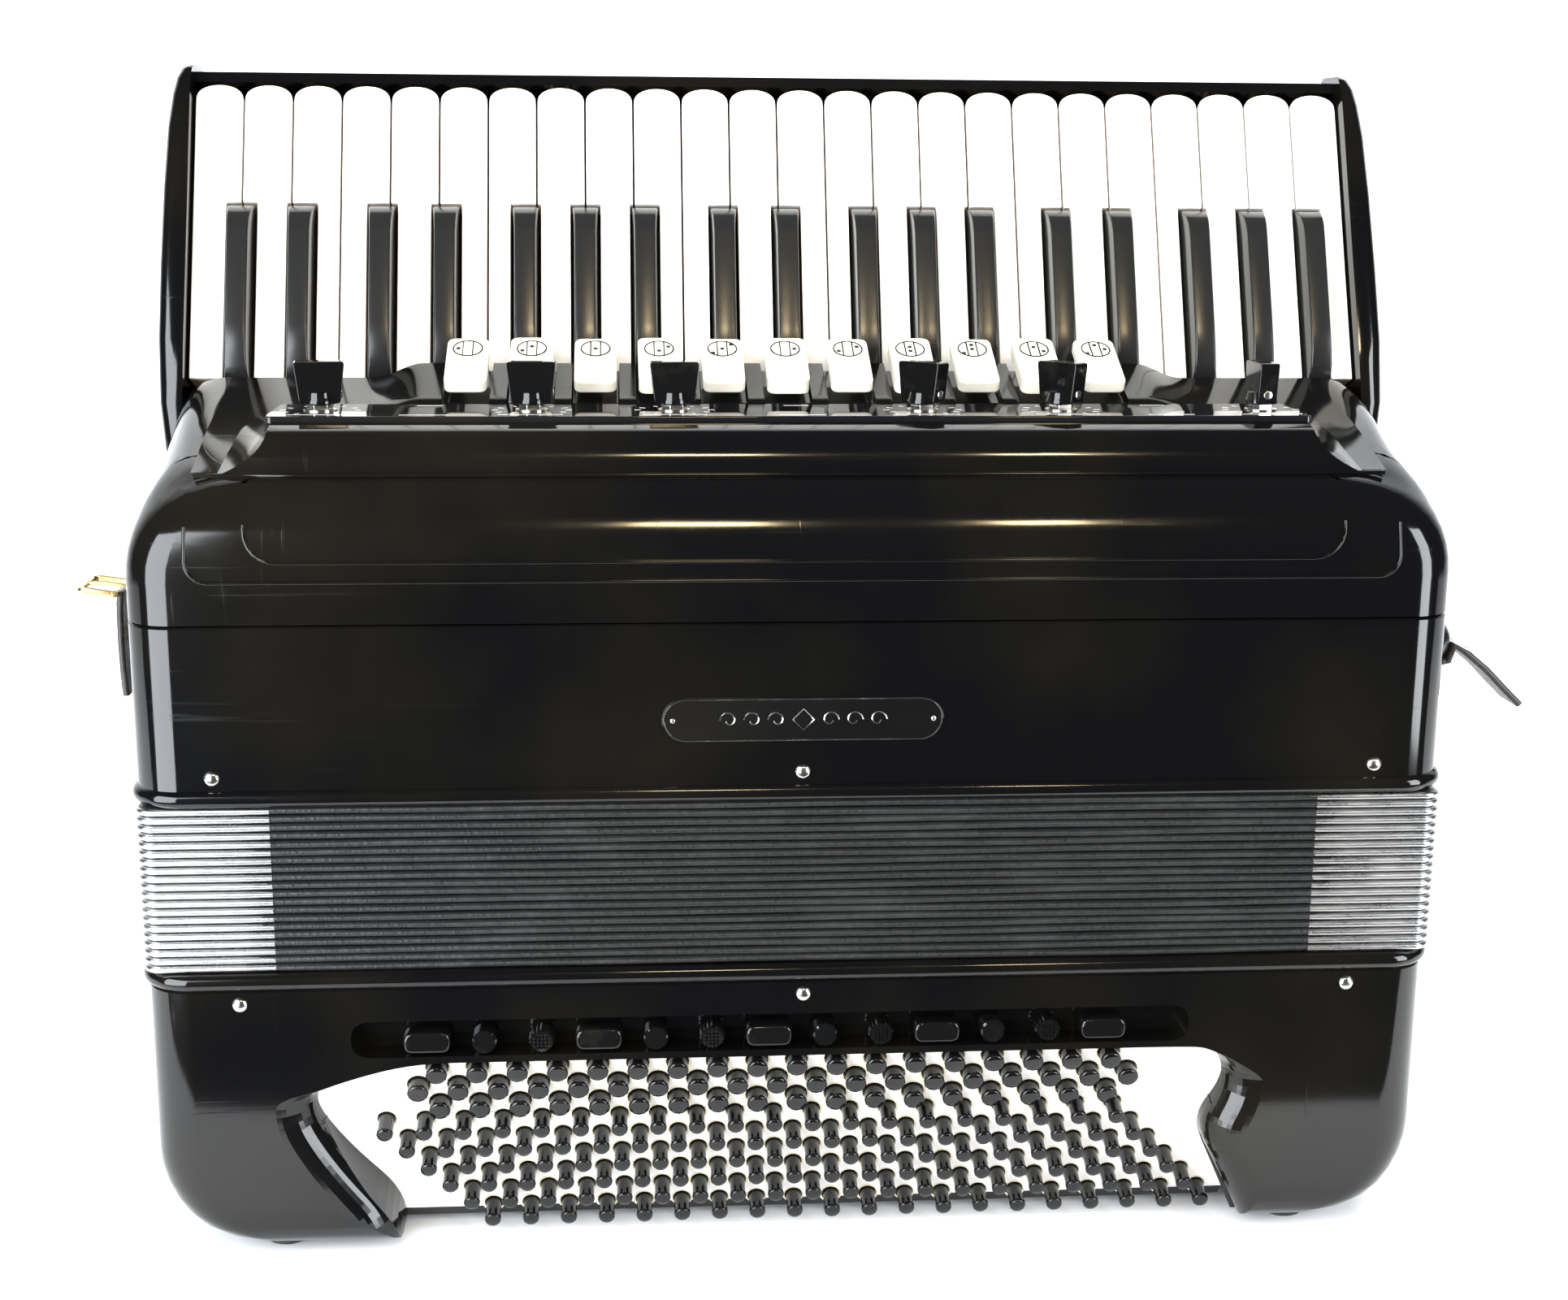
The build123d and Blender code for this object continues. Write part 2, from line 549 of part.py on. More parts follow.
def black_places():
    """X, note of every black key, from the high end to the low end."""
    places = []
    for i in range(1, WHITE_COUNT):
        pair = WHITE_NOTES[i - 1] + WHITE_NOTES[i]
        if pair in BLACK_BETWEEN:
            note, offset = BLACK_BETWEEN[pair]
            places.append((-KEYS_HALF_W + i * WHITE_PITCH + offset, note))
    return places


def lever_place(index):
    """X of a white key's rear arm: the middle of what its black neighbours leave free."""
    left = -KEYS_HALF_W + index * WHITE_PITCH
    right = left + WHITE_PITCH
    reach = BLACK_W / 2 + BLACK_GAP
    for black_x, _ in black_places():
        if abs(black_x - left) < WHITE_PITCH / 2:
            left = black_x + reach
        if abs(black_x - right) < WHITE_PITCH / 2:
            right = black_x - reach
    return (left + right) / 2


def white_key(index):
    """White key: plate with a round tip, notched for its black neighbours."""
    x = -KEYS_HALF_W + (index + 0.5) * WHITE_PITCH
    width = WHITE_PITCH - WHITE_GAP
    with BuildSketch() as sketch:
        with Locations((x, (WHITE_LEN - 7) / 2)):
            Rectangle(width, WHITE_LEN + 7)
        fillet(sketch.vertices().sort_by(Axis.Y)[-2:], TIP_R)
        for black_x, _ in black_places():
            if abs(black_x - x) < WHITE_PITCH:
                with Locations((black_x, (BLACK_LEN + BLACK_GAP - 10) / 2)):
                    Rectangle(BLACK_W + 2 * BLACK_GAP, BLACK_LEN + BLACK_GAP + 10, mode=Mode.SUBTRACT)
    return extrude(key_plane(KEY_T) * sketch.sketch, KEY_T) + lever(lever_place(index))


def black_key(x):
    """Black key: raised bar with sloped tip, low at its root so that it passes under the cover."""
    half = BLACK_W / 2
    profile = [(-7, -KEY_T), (BLACK_LEN, -KEY_T), (BLACK_LEN, BLACK_PROUD - 3), (BLACK_LEN - 2.5, BLACK_PROUD),
               (24, BLACK_PROUD), (10, BLACK_PROUD - 3), (-7, 1)]
    outline = Plane(origin=(x, *key_point(0, 0)), x_dir=(0, math.sin(TILT), math.cos(TILT)), z_dir=(1, 0, 0))
    bar = extrude(outline * make_face(Polyline(*profile, close=True)), half, both=True)
    return bar + lever(x)


def keys():
    """All keys grouped by note name; each key is a separate solid."""
    groups = {}
    for i, note in enumerate(WHITE_NOTES):
        groups.setdefault("keys_" + note.lower(), []).append(white_key(i))
    for x, note in black_places():
        groups.setdefault("keys_" + note, []).append(black_key(x))
    return {name: group(solids) for name, solids in groups.items()}


def nameplate():
    """Oval plate on the front of the treble case."""
    outer = Plane.XZ * Pos(0, SEAM_Z - 37) * RectangleRounded(106, 17, 8.4)
    return extrude(outer, 1.2)


def shoulder_brackets():
    """Four metal loops for the shoulder straps on the back of the treble case."""
    solids = []
    for x in (-150, 150):
        for z in (TREBLE_Z + 18, TREBLE_Z + 44):
            base = box(x - 16, x + 16, CASE_D, CASE_D + 1.5, z - 6, z + 6)
            bar = box(x - 14, x + 14, CASE_D + 3.6, CASE_D + 5.6, z - 1.5, z + 1.5)
            posts = [box(x + dx - 1.5, x + dx + 1.5, CASE_D + 1.5, CASE_D + 5.6, z - 1.5, z + 1.5) for dx in (-14, 14)]
            solids.append(base + bar + posts)
    return group(solids)


def bellows_straps():
    """Leather closing straps hanging from their studs on the two sides of the treble case."""
    left = box(-HALF_W - 12, -HALF_W - 9, 48, 72, SEAM_Z - 38, SEAM_Z + 2)
    tab = Plane.XZ * make_face(Polyline((HALF_W + 18, SEAM_Z - 22), (RIGHT_REACH, SEAM_Z - 40),
                                        (RIGHT_REACH, SEAM_Z - 49), (HALF_W + 22, SEAM_Z - 38), close=True))
    right = Pos(0, 52, 0) * extrude(tab, -20)
    loop = box(HALF_W + 9, HALF_W + 12, 48, 72, SEAM_Z - 68, SEAM_Z - 14)
    bridge = box(HALF_W + 12, HALF_W + 22, 52, 72, SEAM_Z - 37, SEAM_Z - 25)
    return group([left, right + bridge + loop])


def strap_studs():
    """Studs, snap disc and brass buckle that hold the closing straps."""
    stud = Pos(-HALF_W - 4.5, 60, SEAM_Z - 15) * Rot(0, 90, 0) * Cylinder(3.5, 9)
    disc = Pos(HALF_W + 4.5, 60, SEAM_Z - 22) * Rot(0, 90, 0) * Cylinder(4, 9)
    bars = [box(-LEFT_REACH, -HALF_W - 8.8, 46, 49, SEAM_Z + 2, SEAM_Z + 5),
            box(-LEFT_REACH, -HALF_W - 8.8, 71, 74, SEAM_Z + 2, SEAM_Z + 5),
            box(-LEFT_REACH, -LEFT_REACH + 3, 46, 74, SEAM_Z + 2, SEAM_Z + 5),
            box(-HALF_W - 12, -HALF_W - 8.8, 46, 74, SEAM_Z + 2, SEAM_Z + 5)]
    return group([stud, disc, bars[0] + bars[1:]])


def feet():
    """Four rubber feet under the bass case."""
    places = [(x, y) for x in (-203, 203) for y in (26, CASE_D - 26)]
    return group([Pos(x, y, BASS_BOTTOM / 2) * Cylinder(FOOT_R, BASS_BOTTOM) for x, y in places])


def bass_machine():
    """Twelve turning rods of the chord mechanism behind the boards."""
    rods = [Pos(0, 62 + 8 * i, 44 + 22 * (i % 2)) * Rot(0, 90, 0) * Cylinder(2, 420) for i in range(12)]
    ends = [box(x - 2, x + 2, 56, 156, COVER_Z + COVER_T, 74) for x in (-208, 208)]
    return group(rods + ends)


def all_parts():
    """Every node by name."""
    free_board, stradella_board = boards()
    parts = {
        "bass_case": bass_case(), "bass_end_cover": bass_end_cover(), "bass_frame": frame_ring(BASS_FRAME_Z),
        "bass_pins": pin_row(BASS_TOP - 5, (-216, 0, 216)), "free_bass_board": free_board,
        "stradella_board": stradella_board, "bass_feet": feet(), "bass_machine": bass_machine(),
        "bass_soundboard": sound_board(BASS_TOP - 12, 6), "bass_strap": bass_strap(),
        "bass_reed_blocks": reed_blocks(BASS_TOP - 6, BASS_TOP + 34, 3, 40, 160),
        "strap_anchors": strap_anchors(), "strap_wheel": strap_wheel(), "air_button": air_button(),
        "bass_switches": bass_switches(), "bellows": bellows(),
        "treble_case": treble_case(), "treble_frame": frame_ring(TREBLE_FRAME_Z),
        "treble_pins": pin_row(TREBLE_Z + 4.5, (-219, 0, 219)), "grille": grille(),
        "control_panel": control_panel(), "knob_nuts": knob_nuts(), "register_switches": register_switches(),
        "keyboard_bed": keyboard_bed(), "keyboard_cheeks": keyboard_cheeks(), "key_axle": key_axle(),
        "treble_soundboard": sound_board(TREBLE_Z + 2, 6),
        "treble_reed_blocks": reed_blocks(TREBLE_Z - 30, TREBLE_Z + 2, 3, 30, 150),
        "nameplate": nameplate(), "shoulder_brackets": shoulder_brackets(),
        "bellows_straps": bellows_straps(), "strap_studs": strap_studs(),
    }
    for name, *row in row_table():
        parts[name] = button_row(*row)
    for i, x in enumerate(KNOB_X):
        parts["knob_" + str(i + 1)] = knob(x)
    parts.update(keys())
    return parts


os.makedirs("parts", exist_ok=True)
for node, solid in all_parts().items():
    moved = solid.moved(Location((-ORIGIN_X, -ORIGIN_Y, 0)))
    export_step(moved, os.path.join("parts", node + ".step"))
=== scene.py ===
"""Piano accordion: visible meshes and finishes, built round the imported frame.

Sizes in the classes are millimetres in the body's own terms: X from the middle of the cases, Y back from
their front face and Z up from the floor.  Body.at turns them into the frame's metres.
"""
from __future__ import annotations

import logging
import math
import random
from dataclasses import dataclass, field
from enum import Enum
from typing import Iterable, Sequence

import bmesh
import bpy
from mathutils import Matrix, Vector


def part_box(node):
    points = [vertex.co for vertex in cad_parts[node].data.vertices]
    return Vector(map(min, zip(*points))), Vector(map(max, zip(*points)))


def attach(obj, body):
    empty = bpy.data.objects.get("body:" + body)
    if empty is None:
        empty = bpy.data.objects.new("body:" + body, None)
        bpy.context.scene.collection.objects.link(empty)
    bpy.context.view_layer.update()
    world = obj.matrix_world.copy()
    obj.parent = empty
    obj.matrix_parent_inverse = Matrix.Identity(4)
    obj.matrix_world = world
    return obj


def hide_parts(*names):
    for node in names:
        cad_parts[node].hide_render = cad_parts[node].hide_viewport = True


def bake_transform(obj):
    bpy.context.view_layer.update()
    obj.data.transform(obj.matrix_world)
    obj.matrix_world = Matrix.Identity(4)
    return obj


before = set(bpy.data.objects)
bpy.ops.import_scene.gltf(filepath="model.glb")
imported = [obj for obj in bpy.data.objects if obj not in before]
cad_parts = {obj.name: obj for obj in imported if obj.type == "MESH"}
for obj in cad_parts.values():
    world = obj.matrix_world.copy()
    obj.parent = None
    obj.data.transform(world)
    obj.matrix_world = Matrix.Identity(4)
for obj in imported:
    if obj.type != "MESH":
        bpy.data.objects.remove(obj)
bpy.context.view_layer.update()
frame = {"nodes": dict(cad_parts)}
LOG = logging.getLogger("accordion")
MM = 0.001
CASE_HALF_W = 249.5
CASE_DEPTH = 190.0
CASE_RADIUS = 18.0
CORNER_STEPS = 14
MERGE = 1e-7
SHARP = 0.5
KNOB_PLACES = (-182.5, -101.6, -46.5, 50.9, 105.8, 186.0)
KNOB_Y = 60.5
TAB_COUNT = 11
TAB_PITCH = 25.8
Point2 = tuple[float, float]
Loop = list[Vector]


# ---------------------------------------------------------------------------------------------
# Shader expressions
# ---------------------------------------------------------------------------------------------
class Signal:
    """A number that varies over a surface; Python operators add Math nodes to its graph."""

    def __init__(self, graph: "Graph", socket: bpy.types.NodeSocket) -> None:
        """Wraps one output socket of a graph."""
        self.graph = graph
        self.socket = socket

    def _math(self, operation: str, first: object, second: object) -> "Signal":
        """Adds one Math node for an operation on two values."""
        return self.graph.node("ShaderNodeMath", {"operation": operation}, {0: first, 1: second})

    def __add__(self, other: object) -> "Signal":
        """self + other."""
        return self._math("ADD", self, other)

    def __radd__(self, other: object) -> "Signal":
        """other + self."""
        return self._math("ADD", other, self)

    def __sub__(self, other: object) -> "Signal":
        """self - other."""
        return self._math("SUBTRACT", self, other)

    def __rsub__(self, other: object) -> "Signal":
        """other - self."""
        return self._math("SUBTRACT", other, self)

    def __mul__(self, other: object) -> "Signal":
        """self * other."""
        return self._math("MULTIPLY", self, other)

    def __rmul__(self, other: object) -> "Signal":
        """other * self."""
        return self._math("MULTIPLY", other, self)

    def __pow__(self, other: object) -> "Signal":
        """self ** other."""
        return self._math("POWER", self, other)


class Graph:
    """The node graph of one material, with a Principled shader at its end."""

    def __init__(self, name: str) -> None:
        """Makes an empty material of that name.

        Args:
            name: the material's name.
        """
        self.material = bpy.data.materials.new(name)
        self.material.use_nodes = True
        self.tree = self.material.node_tree
        self.tree.nodes.clear()
        self.output = self.tree.nodes.new("ShaderNodeOutputMaterial")
        self.shader = self.tree.nodes.new("ShaderNodeBsdfPrincipled")
        self.tree.links.new(self.shader.outputs[0], self.output.inputs[0])

    def node(self, kind: str, settings: dict[str, object], values: dict[object, object], out: object = 0) -> Signal:
        """Adds any node.

        Args:
            kind: the node's type name.
            settings: attributes that are set first; "stops" sets a colour ramp's stops.
            values: input sockets by name or index, as numbers, tuples or signals.
            out: the output to return, by name or index.

        Returns:
            The chosen output as a signal.
        """
        made = self.tree.nodes.new(kind)
        for key, value in settings.items():
            if key == "stops":
                ramp = made.color_ramp.elements
                while len(ramp) < len(value):
                    ramp.new(0.5)
                for stop, (place, colour) in zip(ramp, value):
                    stop.position, stop.color = place, colour
            else:
                setattr(made, key, value)
        for key, value in values.items():
            self.feed(made.inputs[key], value)
        return Signal(self, made.outputs[out])

    def feed(self, socket: bpy.types.NodeSocket, value: object) -> None:
        """Links a signal to a socket, or sets its default.

        Args:
            socket: an input socket of the graph.
            value: a signal, or the socket's fixed value.
        """
        if isinstance(value, Signal):
            self.tree.links.new(value.socket, socket)
        else:
            socket.default_value = value

    def place(self, scale: Sequence[float] = (1, 1, 1), turn: Sequence[float] = (0, 0, 0)) -> Signal:
        """Object coordinates through a Mapping node."""
        coords = self.node("ShaderNodeTexCoord", {}, {}, "Object")
        return self.node("ShaderNodeMapping", {}, {"Vector": coords, "Scale": scale, "Rotation": turn})

    def noise(self, scale: float, detail: float = 3.0, stretch: Sequence[float] = (1, 1, 1),
              rough: float = 0.5) -> Signal:
        """Noise over the object's coordinates, 0 to 1."""
        values = {"Vector": self.place(stretch), "Scale": scale, "Detail": detail, "Roughness": rough}
        return self.node("ShaderNodeTexNoise", {}, values)

    def cells(self, scale: float, feature: str = "F1", stretch: Sequence[float] = (1, 1, 1)) -> Signal:
        """Distance in a Voronoi pattern."""
        values = {"Vector": self.place(stretch), "Scale": scale}
        return self.node("ShaderNodeTexVoronoi", {"feature": feature}, values, "Distance")

    def span(self, value: Signal, low: float, high: float, to_low: float = 0.0, to_high: float = 1.0) -> Signal:
        """Maps a range of a signal to another range, clamped."""
        values = {"Value": value, "From Min": low, "From Max": high, "To Min": to_low, "To Max": to_high}
        return self.node("ShaderNodeMapRange", {"clamp": True}, values)

    def blend(self, mask: object, first: object, second: object) -> Signal:
        """Mixes two colours by a mask.

        Args:
            mask: 0 for the first colour, 1 for the second.
            first: a colour or a signal.
            second: a colour or a signal.

        Returns:
            The mixed colour.
        """
        made = self.tree.nodes.new("ShaderNodeMix")
        made.data_type = "RGBA"
        self.feed(made.inputs[0], mask)
        self.feed(made.inputs[6], first)
        self.feed(made.inputs[7], second)
        return Signal(self, made.outputs[2])

    def bump(self, height: Signal, depth_mm: float, below: object = None) -> Signal:
        """Bump of a given depth in millimetres.

        Args:
            height: the relief, 0 to 1.
            depth_mm: how high 1 stands.
            below: a coarser bump under this one.

        Returns:
            The normal.
        """
        values: dict[object, object] = {"Height": height, "Strength": 1.0, "Distance": depth_mm * MM}
        if below is not None:
            values["Normal"] = below
        return self.node("ShaderNodeBump", {}, values)

    def finish(self, **sockets: object) -> bpy.types.Material:
        """Feeds the shader's sockets.

        Args:
            sockets: values or signals by socket name, with underscores for spaces.

        Returns:
            The material.
        """
        for name, value in sockets.items():
            self.feed(self.shader.inputs[name.replace("_", " ").title().replace("Ior", "IOR")], value)
        return self.material


def rgba(colour: Sequence[float]) -> tuple[float, float, float, float]:
    """A colour with full alpha."""
    return (colour[0], colour[1], colour[2], 1.0)


@dataclass(frozen=True)
class Celluloid:
    """Polished black celluloid: faint brown clouds, hairline scratches and hand smudges."""

    name: str
    colour: tuple[float, float, float] = (0.0022, 0.0022, 0.0024)
    cloud: tuple[float, float, float] = (0.007, 0.006, 0.004)
    polish: float = 0.09
    wave: float = 0.05

    def build(self) -> bpy.types.Material:
        """Makes the material.

        Returns:
            The finished node material.
        """
        g = Graph(self.name)
        clouds = g.span(g.noise(9.0, 4.0), 0.45, 0.75)
        smudge = g.span(g.noise(24.0, 6.0, (1, 1, 1), 0.65), 0.52, 0.8)
        lines = g.span(g.noise(55.0, 2.0, (0.25, 1, 9)), 0.66, 0.72)
        cross = g.span(g.noise(60.0, 2.0, (7, 1, 0.4)), 0.68, 0.73)
        dust = g.span(g.cells(420.0), 0.0, 0.055, 1.0, 0.0)
        base = g.blend(clouds, rgba(self.colour), rgba(self.cloud))
        worn = g.blend(dust * 0.22, base, (0.12, 0.11, 0.09, 1))
        rough = g.span(smudge * 0.05 + lines * 0.07 + cross * 0.05 + dust * 0.2 + self.polish, 0.0, 0.5, 0.0, 0.5)
        waves = g.bump(g.noise(11.0, 1.0), self.wave * 4)
        fine = g.bump(lines + cross, 0.004, waves)
        return g.finish(base_color=worn, roughness=rough, normal=fine, ior=1.5, coat_weight=0.0)


@dataclass(frozen=True)
class KeyPlastic:
    """White key tops: warm white with long faint streaks and faint yellowed patches."""

    name: str
    colour: tuple[float, float, float] = (0.88, 0.87, 0.84)
    aged: tuple[float, float, float] = (0.80, 0.74, 0.60)
    gloss: float = 0.16

    def build(self) -> bpy.types.Material:
        """Makes the material.

        Returns:
            The finished node material.
        """
        g = Graph(self.name)
        streak = g.span(g.noise(40.0, 5.0, (3.0, 0.4, 0.35)), 0.40, 0.80)
        patch = g.span(g.noise(14.0, 3.0), 0.55, 0.85)
        base = g.blend(streak * 0.16 + patch * 0.16, rgba(self.colour), rgba(self.aged))
        rough = g.span(g.noise(120.0, 3.0), 0.3, 0.8, self.gloss - 0.03, self.gloss + 0.10)
        return g.finish(base_color=base, roughness=rough, normal=g.bump(g.noise(70.0, 2.0), 0.02), ior=1.5)


@dataclass(frozen=True)
class Pearl:
    """Cream switch plastic with soft mother-of-pearl clouds."""

    name: str
    colour: tuple[float, float, float] = (0.84, 0.80, 0.69)
    deep: tuple[float, float, float] = (0.66, 0.58, 0.42)

    def build(self) -> bpy.types.Material:
        """Makes the material.

        Returns:
            The finished node material.
        """
        g = Graph(self.name)
        swirl = g.span(g.noise(130.0, 5.0, (1, 1, 1), 0.6), 0.45, 0.72)
        cell = g.span(g.cells(180.0), 0.1, 0.5)
        base = g.blend(swirl * 0.5 * cell, rgba(self.colour), rgba(self.deep))
        rough = g.span(g.noise(300.0, 3.0), 0.3, 0.8, 0.14, 0.28)
        return g.finish(base_color=base, roughness=rough, normal=g.bump(g.noise(260.0, 2.0), 0.015), ior=1.5)


@dataclass(frozen=True)
class Moulded:
    """Moulded plastic, rubber or lacquer with specks of dust and rubbed patches."""

    name: str
    colour: tuple[float, float, float]
    worn: tuple[float, float, float]
    gloss: float = 0.12
    spread: float = 0.14
    grain: float = 0.01
    scale: float = 300.0

    def build(self) -> bpy.types.Material:
        """Makes the material.

        Returns:
            The finished node material.
        """
        g = Graph(self.name)
        patch = g.span(g.noise(self.scale * 0.2, 5.0, (1, 1, 1), 0.6), 0.55, 0.78)
        speck = g.span(g.cells(self.scale * 2.2), 0.0, 0.09, 1.0, 0.0)
        base = g.blend(patch * 0.5 + speck * 0.5, rgba(self.colour), rgba(self.worn))
        rough = g.span(patch + speck, 0.0, 1.0, self.gloss, self.gloss + self.spread)
        return g.finish(base_color=base, roughness=rough, normal=g.bump(g.noise(self.scale, 3.0), self.grain))


@dataclass(frozen=True)
class Hide:
    """Leather or leatherette: pebbled grain, creases and rubbed high spots."""

    name: str
    colour: tuple[float, float, float]
    rubbed: tuple[float, float, float]
    pebble: float = 900.0
    depth: float = 0.12
    gloss: float = 0.42

    def build(self) -> bpy.types.Material:
        """Makes the material.

        Returns:
            The finished node material.
        """
        g = Graph(self.name)
        grain = g.span(g.cells(self.pebble, "SMOOTH_F1"), 0.05, 0.75)
        crease = g.noise(self.pebble * 0.35, 4.0, (1, 1, 1), 0.6)
        rub = g.span(g.noise(38.0, 5.0, (1, 1, 2.5), 0.6), 0.5, 0.8)
        base = g.blend(rub * 0.5 + grain * 0.25, rgba(self.colour), rgba(self.rubbed))
        rough = g.span(grain + rub * 0.5, 0.0, 1.5, self.gloss - 0.12, self.gloss + 0.2)
        return g.finish(base_color=base, roughness=rough, normal=g.bump(grain * -1.0 + crease * 0.6, self.depth))


@dataclass(frozen=True)
class Metal:
    """Plated or bare metal with drawn lines and tarnish."""

    name: str
    colour: tuple[float, float, float]
    tarnish: tuple[float, float, float]
    rough: float = 0.22
    lines: tuple[float, float, float] = (1.0, 1.0, 8.0)
    spots: float = 90.0
    depth: float = 0.008

    def build(self) -> bpy.types.Material:
        """Makes the material.

        Returns:
            The finished node material.
        """
        g = Graph(self.name)
        drawn = g.noise(260.0, 2.0, self.lines)
        stain = g.span(g.noise(self.spots, 5.0, (1, 1, 1), 0.65), 0.5, 0.75)
        base = g.blend(stain * 0.7, rgba(self.colour), rgba(self.tarnish))
        rough = g.span(drawn * 0.4 + stain * 0.6, 0.0, 1.0, self.rough - 0.08, self.rough + 0.2)
        return g.finish(base_color=base, metallic=1.0, roughness=rough, normal=g.bump(drawn, self.depth))


@dataclass(frozen=True)
class Timber:
    """Plain wood with growth lines along one axis."""

    name: str
    colour: tuple[float, float, float]
    late: tuple[float, float, float]
    along: tuple[float, float, float] = (0.12, 2.0, 1.0)

    def build(self) -> bpy.types.Material:
        """Makes the material.

        Returns:
            The finished node material.
        """
        g = Graph(self.name)
        ring = g.span(g.noise(90.0, 6.0, self.along, 0.6), 0.35, 0.7)
        pore = g.span(g.noise(900.0, 2.0, self.along), 0.55, 0.7)
        base = g.blend(ring * 0.8 + pore * 0.2, rgba(self.colour), rgba(self.late))
        return g.finish(base_color=base, roughness=g.span(ring, 0.0, 1.0, 0.45, 0.62),
                        normal=g.bump(ring + pore, 0.03))


class Finish(Enum):
    """Every finish of the object, by the record's material slot."""

    BLACK = ("black_celluloid", Celluloid("celluloid_black"))
    PANEL = ("panel_gloss", Celluloid("panel_lacquer", (0.006, 0.006, 0.007), (0.012, 0.011, 0.010), 0.02, 0.0))
    PLATE = ("nameplate_black",
             Celluloid("nameplate_lacquer", (0.004, 0.004, 0.004), (0.01, 0.009, 0.008), 0.05, 0.0))
    KEY_WHITE = ("key_white", KeyPlastic("key_top_white"))
    KEY_BLACK = ("key_black", Celluloid("key_black", (0.003, 0.003, 0.0033), (0.006, 0.005, 0.004), 0.10, 0.02))
    CREAM = ("cream_plastic", Pearl("switch_cream"))
    BUTTON = ("black_plastic", Moulded("button_black", (0.0035, 0.0035, 0.0036), (0.022, 0.020, 0.016), 0.07, 0.16))
    BOARD = ("white_board", KeyPlastic("board_white", (0.88, 0.87, 0.85), (0.86, 0.76, 0.60), 0.2))
    LEATHER = ("black_leather", Hide("strap_leather", (0.020, 0.019, 0.018), (0.075, 0.068, 0.06), 700.0, 0.10))
    BELLOWS = ("leatherette",
               Hide("bellows_cloth", (0.011, 0.012, 0.0125), (0.030, 0.031, 0.032), 850.0, 0.10, 0.36))
    NICKEL = ("nickel", Metal("nickel_plate", (0.78, 0.75, 0.70), (0.50, 0.45, 0.37)))
    STEEL = ("steel", Metal("steel_rod", (0.6, 0.6, 0.6), (0.4, 0.38, 0.35)))
    BRASS = ("brass", Metal("brass_fitting", (0.78, 0.60, 0.30), (0.42, 0.30, 0.15), 0.25))
    ALUMINIUM = ("aluminium_plate", Metal("aluminium_sheet", (0.78, 0.79, 0.80), (0.6, 0.6, 0.6), 0.35, (8, 1, 1)))
    SPRUCE = ("spruce", Timber("reed_block_wood", (0.62, 0.42, 0.22), (0.38, 0.22, 0.10)))
    CORNER = ("nickel",
              Metal("corner_metal", (0.62, 0.62, 0.62), (0.50, 0.49, 0.47), 0.30, (0.4, 0.4, 3.0), 30.0, 0.001))
    SNAP = ("steel", Metal("snap_dark", (0.16, 0.16, 0.17), (0.09, 0.09, 0.09), 0.26, (1, 1, 1), 120.0))
    STAIN = ("white_board", KeyPlastic("board_stain", (0.74, 0.66, 0.48), (0.60, 0.48, 0.28), 0.3))
    THREAD = ("black_leather", Moulded("grey_thread", (0.30, 0.29, 0.27), (0.16, 0.15, 0.14), 0.7, 0.2, 0.04, 900.0))
    RUBBER = ("black_rubber", Moulded("foot_rubber", (0.018, 0.018, 0.018), (0.06, 0.058, 0.055), 0.5, 0.25, 0.05))

    def __init__(self, slot: str, maker: object) -> None:
        """Keeps the slot's name and the maker of its material."""
        self.slot = slot
        self.maker = maker

    @property
    def material(self) -> bpy.types.Material:
        """The material, made on first use."""
        return bpy.data.materials.get(self.maker.name) or self.maker.build()


# ---------------------------------------------------------------------------------------------
# Mesh work
# ---------------------------------------------------------------------------------------------
class Body:
    """Where the cases stand in the frame."""

    low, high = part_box("treble_case")
    middle = (low[0] + high[0]) / 2
    front = low[1]

    @classmethod
    def at(cls, x: float, y: float, z: float) -> Vector:
        """A point in body millimetres as frame metres."""
        return Vector((cls.middle + x * MM, cls.front + y * MM, z * MM))


def loft(bm: bmesh.types.BMesh, sections: Sequence[Loop], closed: bool = True, caps: bool = True,
         ring: bool = False) -> None:
    """Skins a row of sections with equal numbers of points.

    Args:
        bm: the mesh to add to.
        sections: the loops of points, in order.
        closed: whether each section is a closed loop.
        caps: whether the first and last section are filled.
        ring: whether the last section joins the first.
    """
    tag = bm.verts.layers.int.get("station") or bm.verts.layers.int.new("station")
    verts = [bm.verts.new(point) for point in sections[0]]
    for i, vert in enumerate(verts):
        vert[tag] = i
    pairs = list(zip(verts, verts[1:] + verts[:1])) if closed else list(zip(verts, verts[1:]))
    edges = [bm.edges.new(pair) for pair in pairs]
    first = list(edges)
    for section in sections[1:] + ([sections[0]] if ring else []):
        grown = bmesh.ops.extrude_edge_only(bm, edges=edges)["geom"]
        fresh = {item for item in grown if isinstance(item, bmesh.types.BMVert)}
        for vert in fresh:
            vert.co = section[vert[tag]]
        edges = [item for item in grown if isinstance(item, bmesh.types.BMEdge) and set(item.verts) <= fresh]
    if caps and closed and not ring:
        bmesh.ops.edgeloop_fill(bm, edges=first)
        bmesh.ops.edgeloop_fill(bm, edges=edges)
    if ring:
        bmesh.ops.remove_doubles(bm, verts=bm.verts, dist=1e-6)


@dataclass
class PathPoint:
    """A point of a plan path with its outward normal, in body millimetres."""

    x: float
    y: float
    nx: float
    ny: float


def fan(start: float, step: float, count: int) -> list[Point2]:
    """Cosine and sine of count angles, in degrees, from start in equal steps."""
    return [(math.cos(math.radians(start + step * k)), math.sin(math.radians(start + step * k))) for k in range(count)]


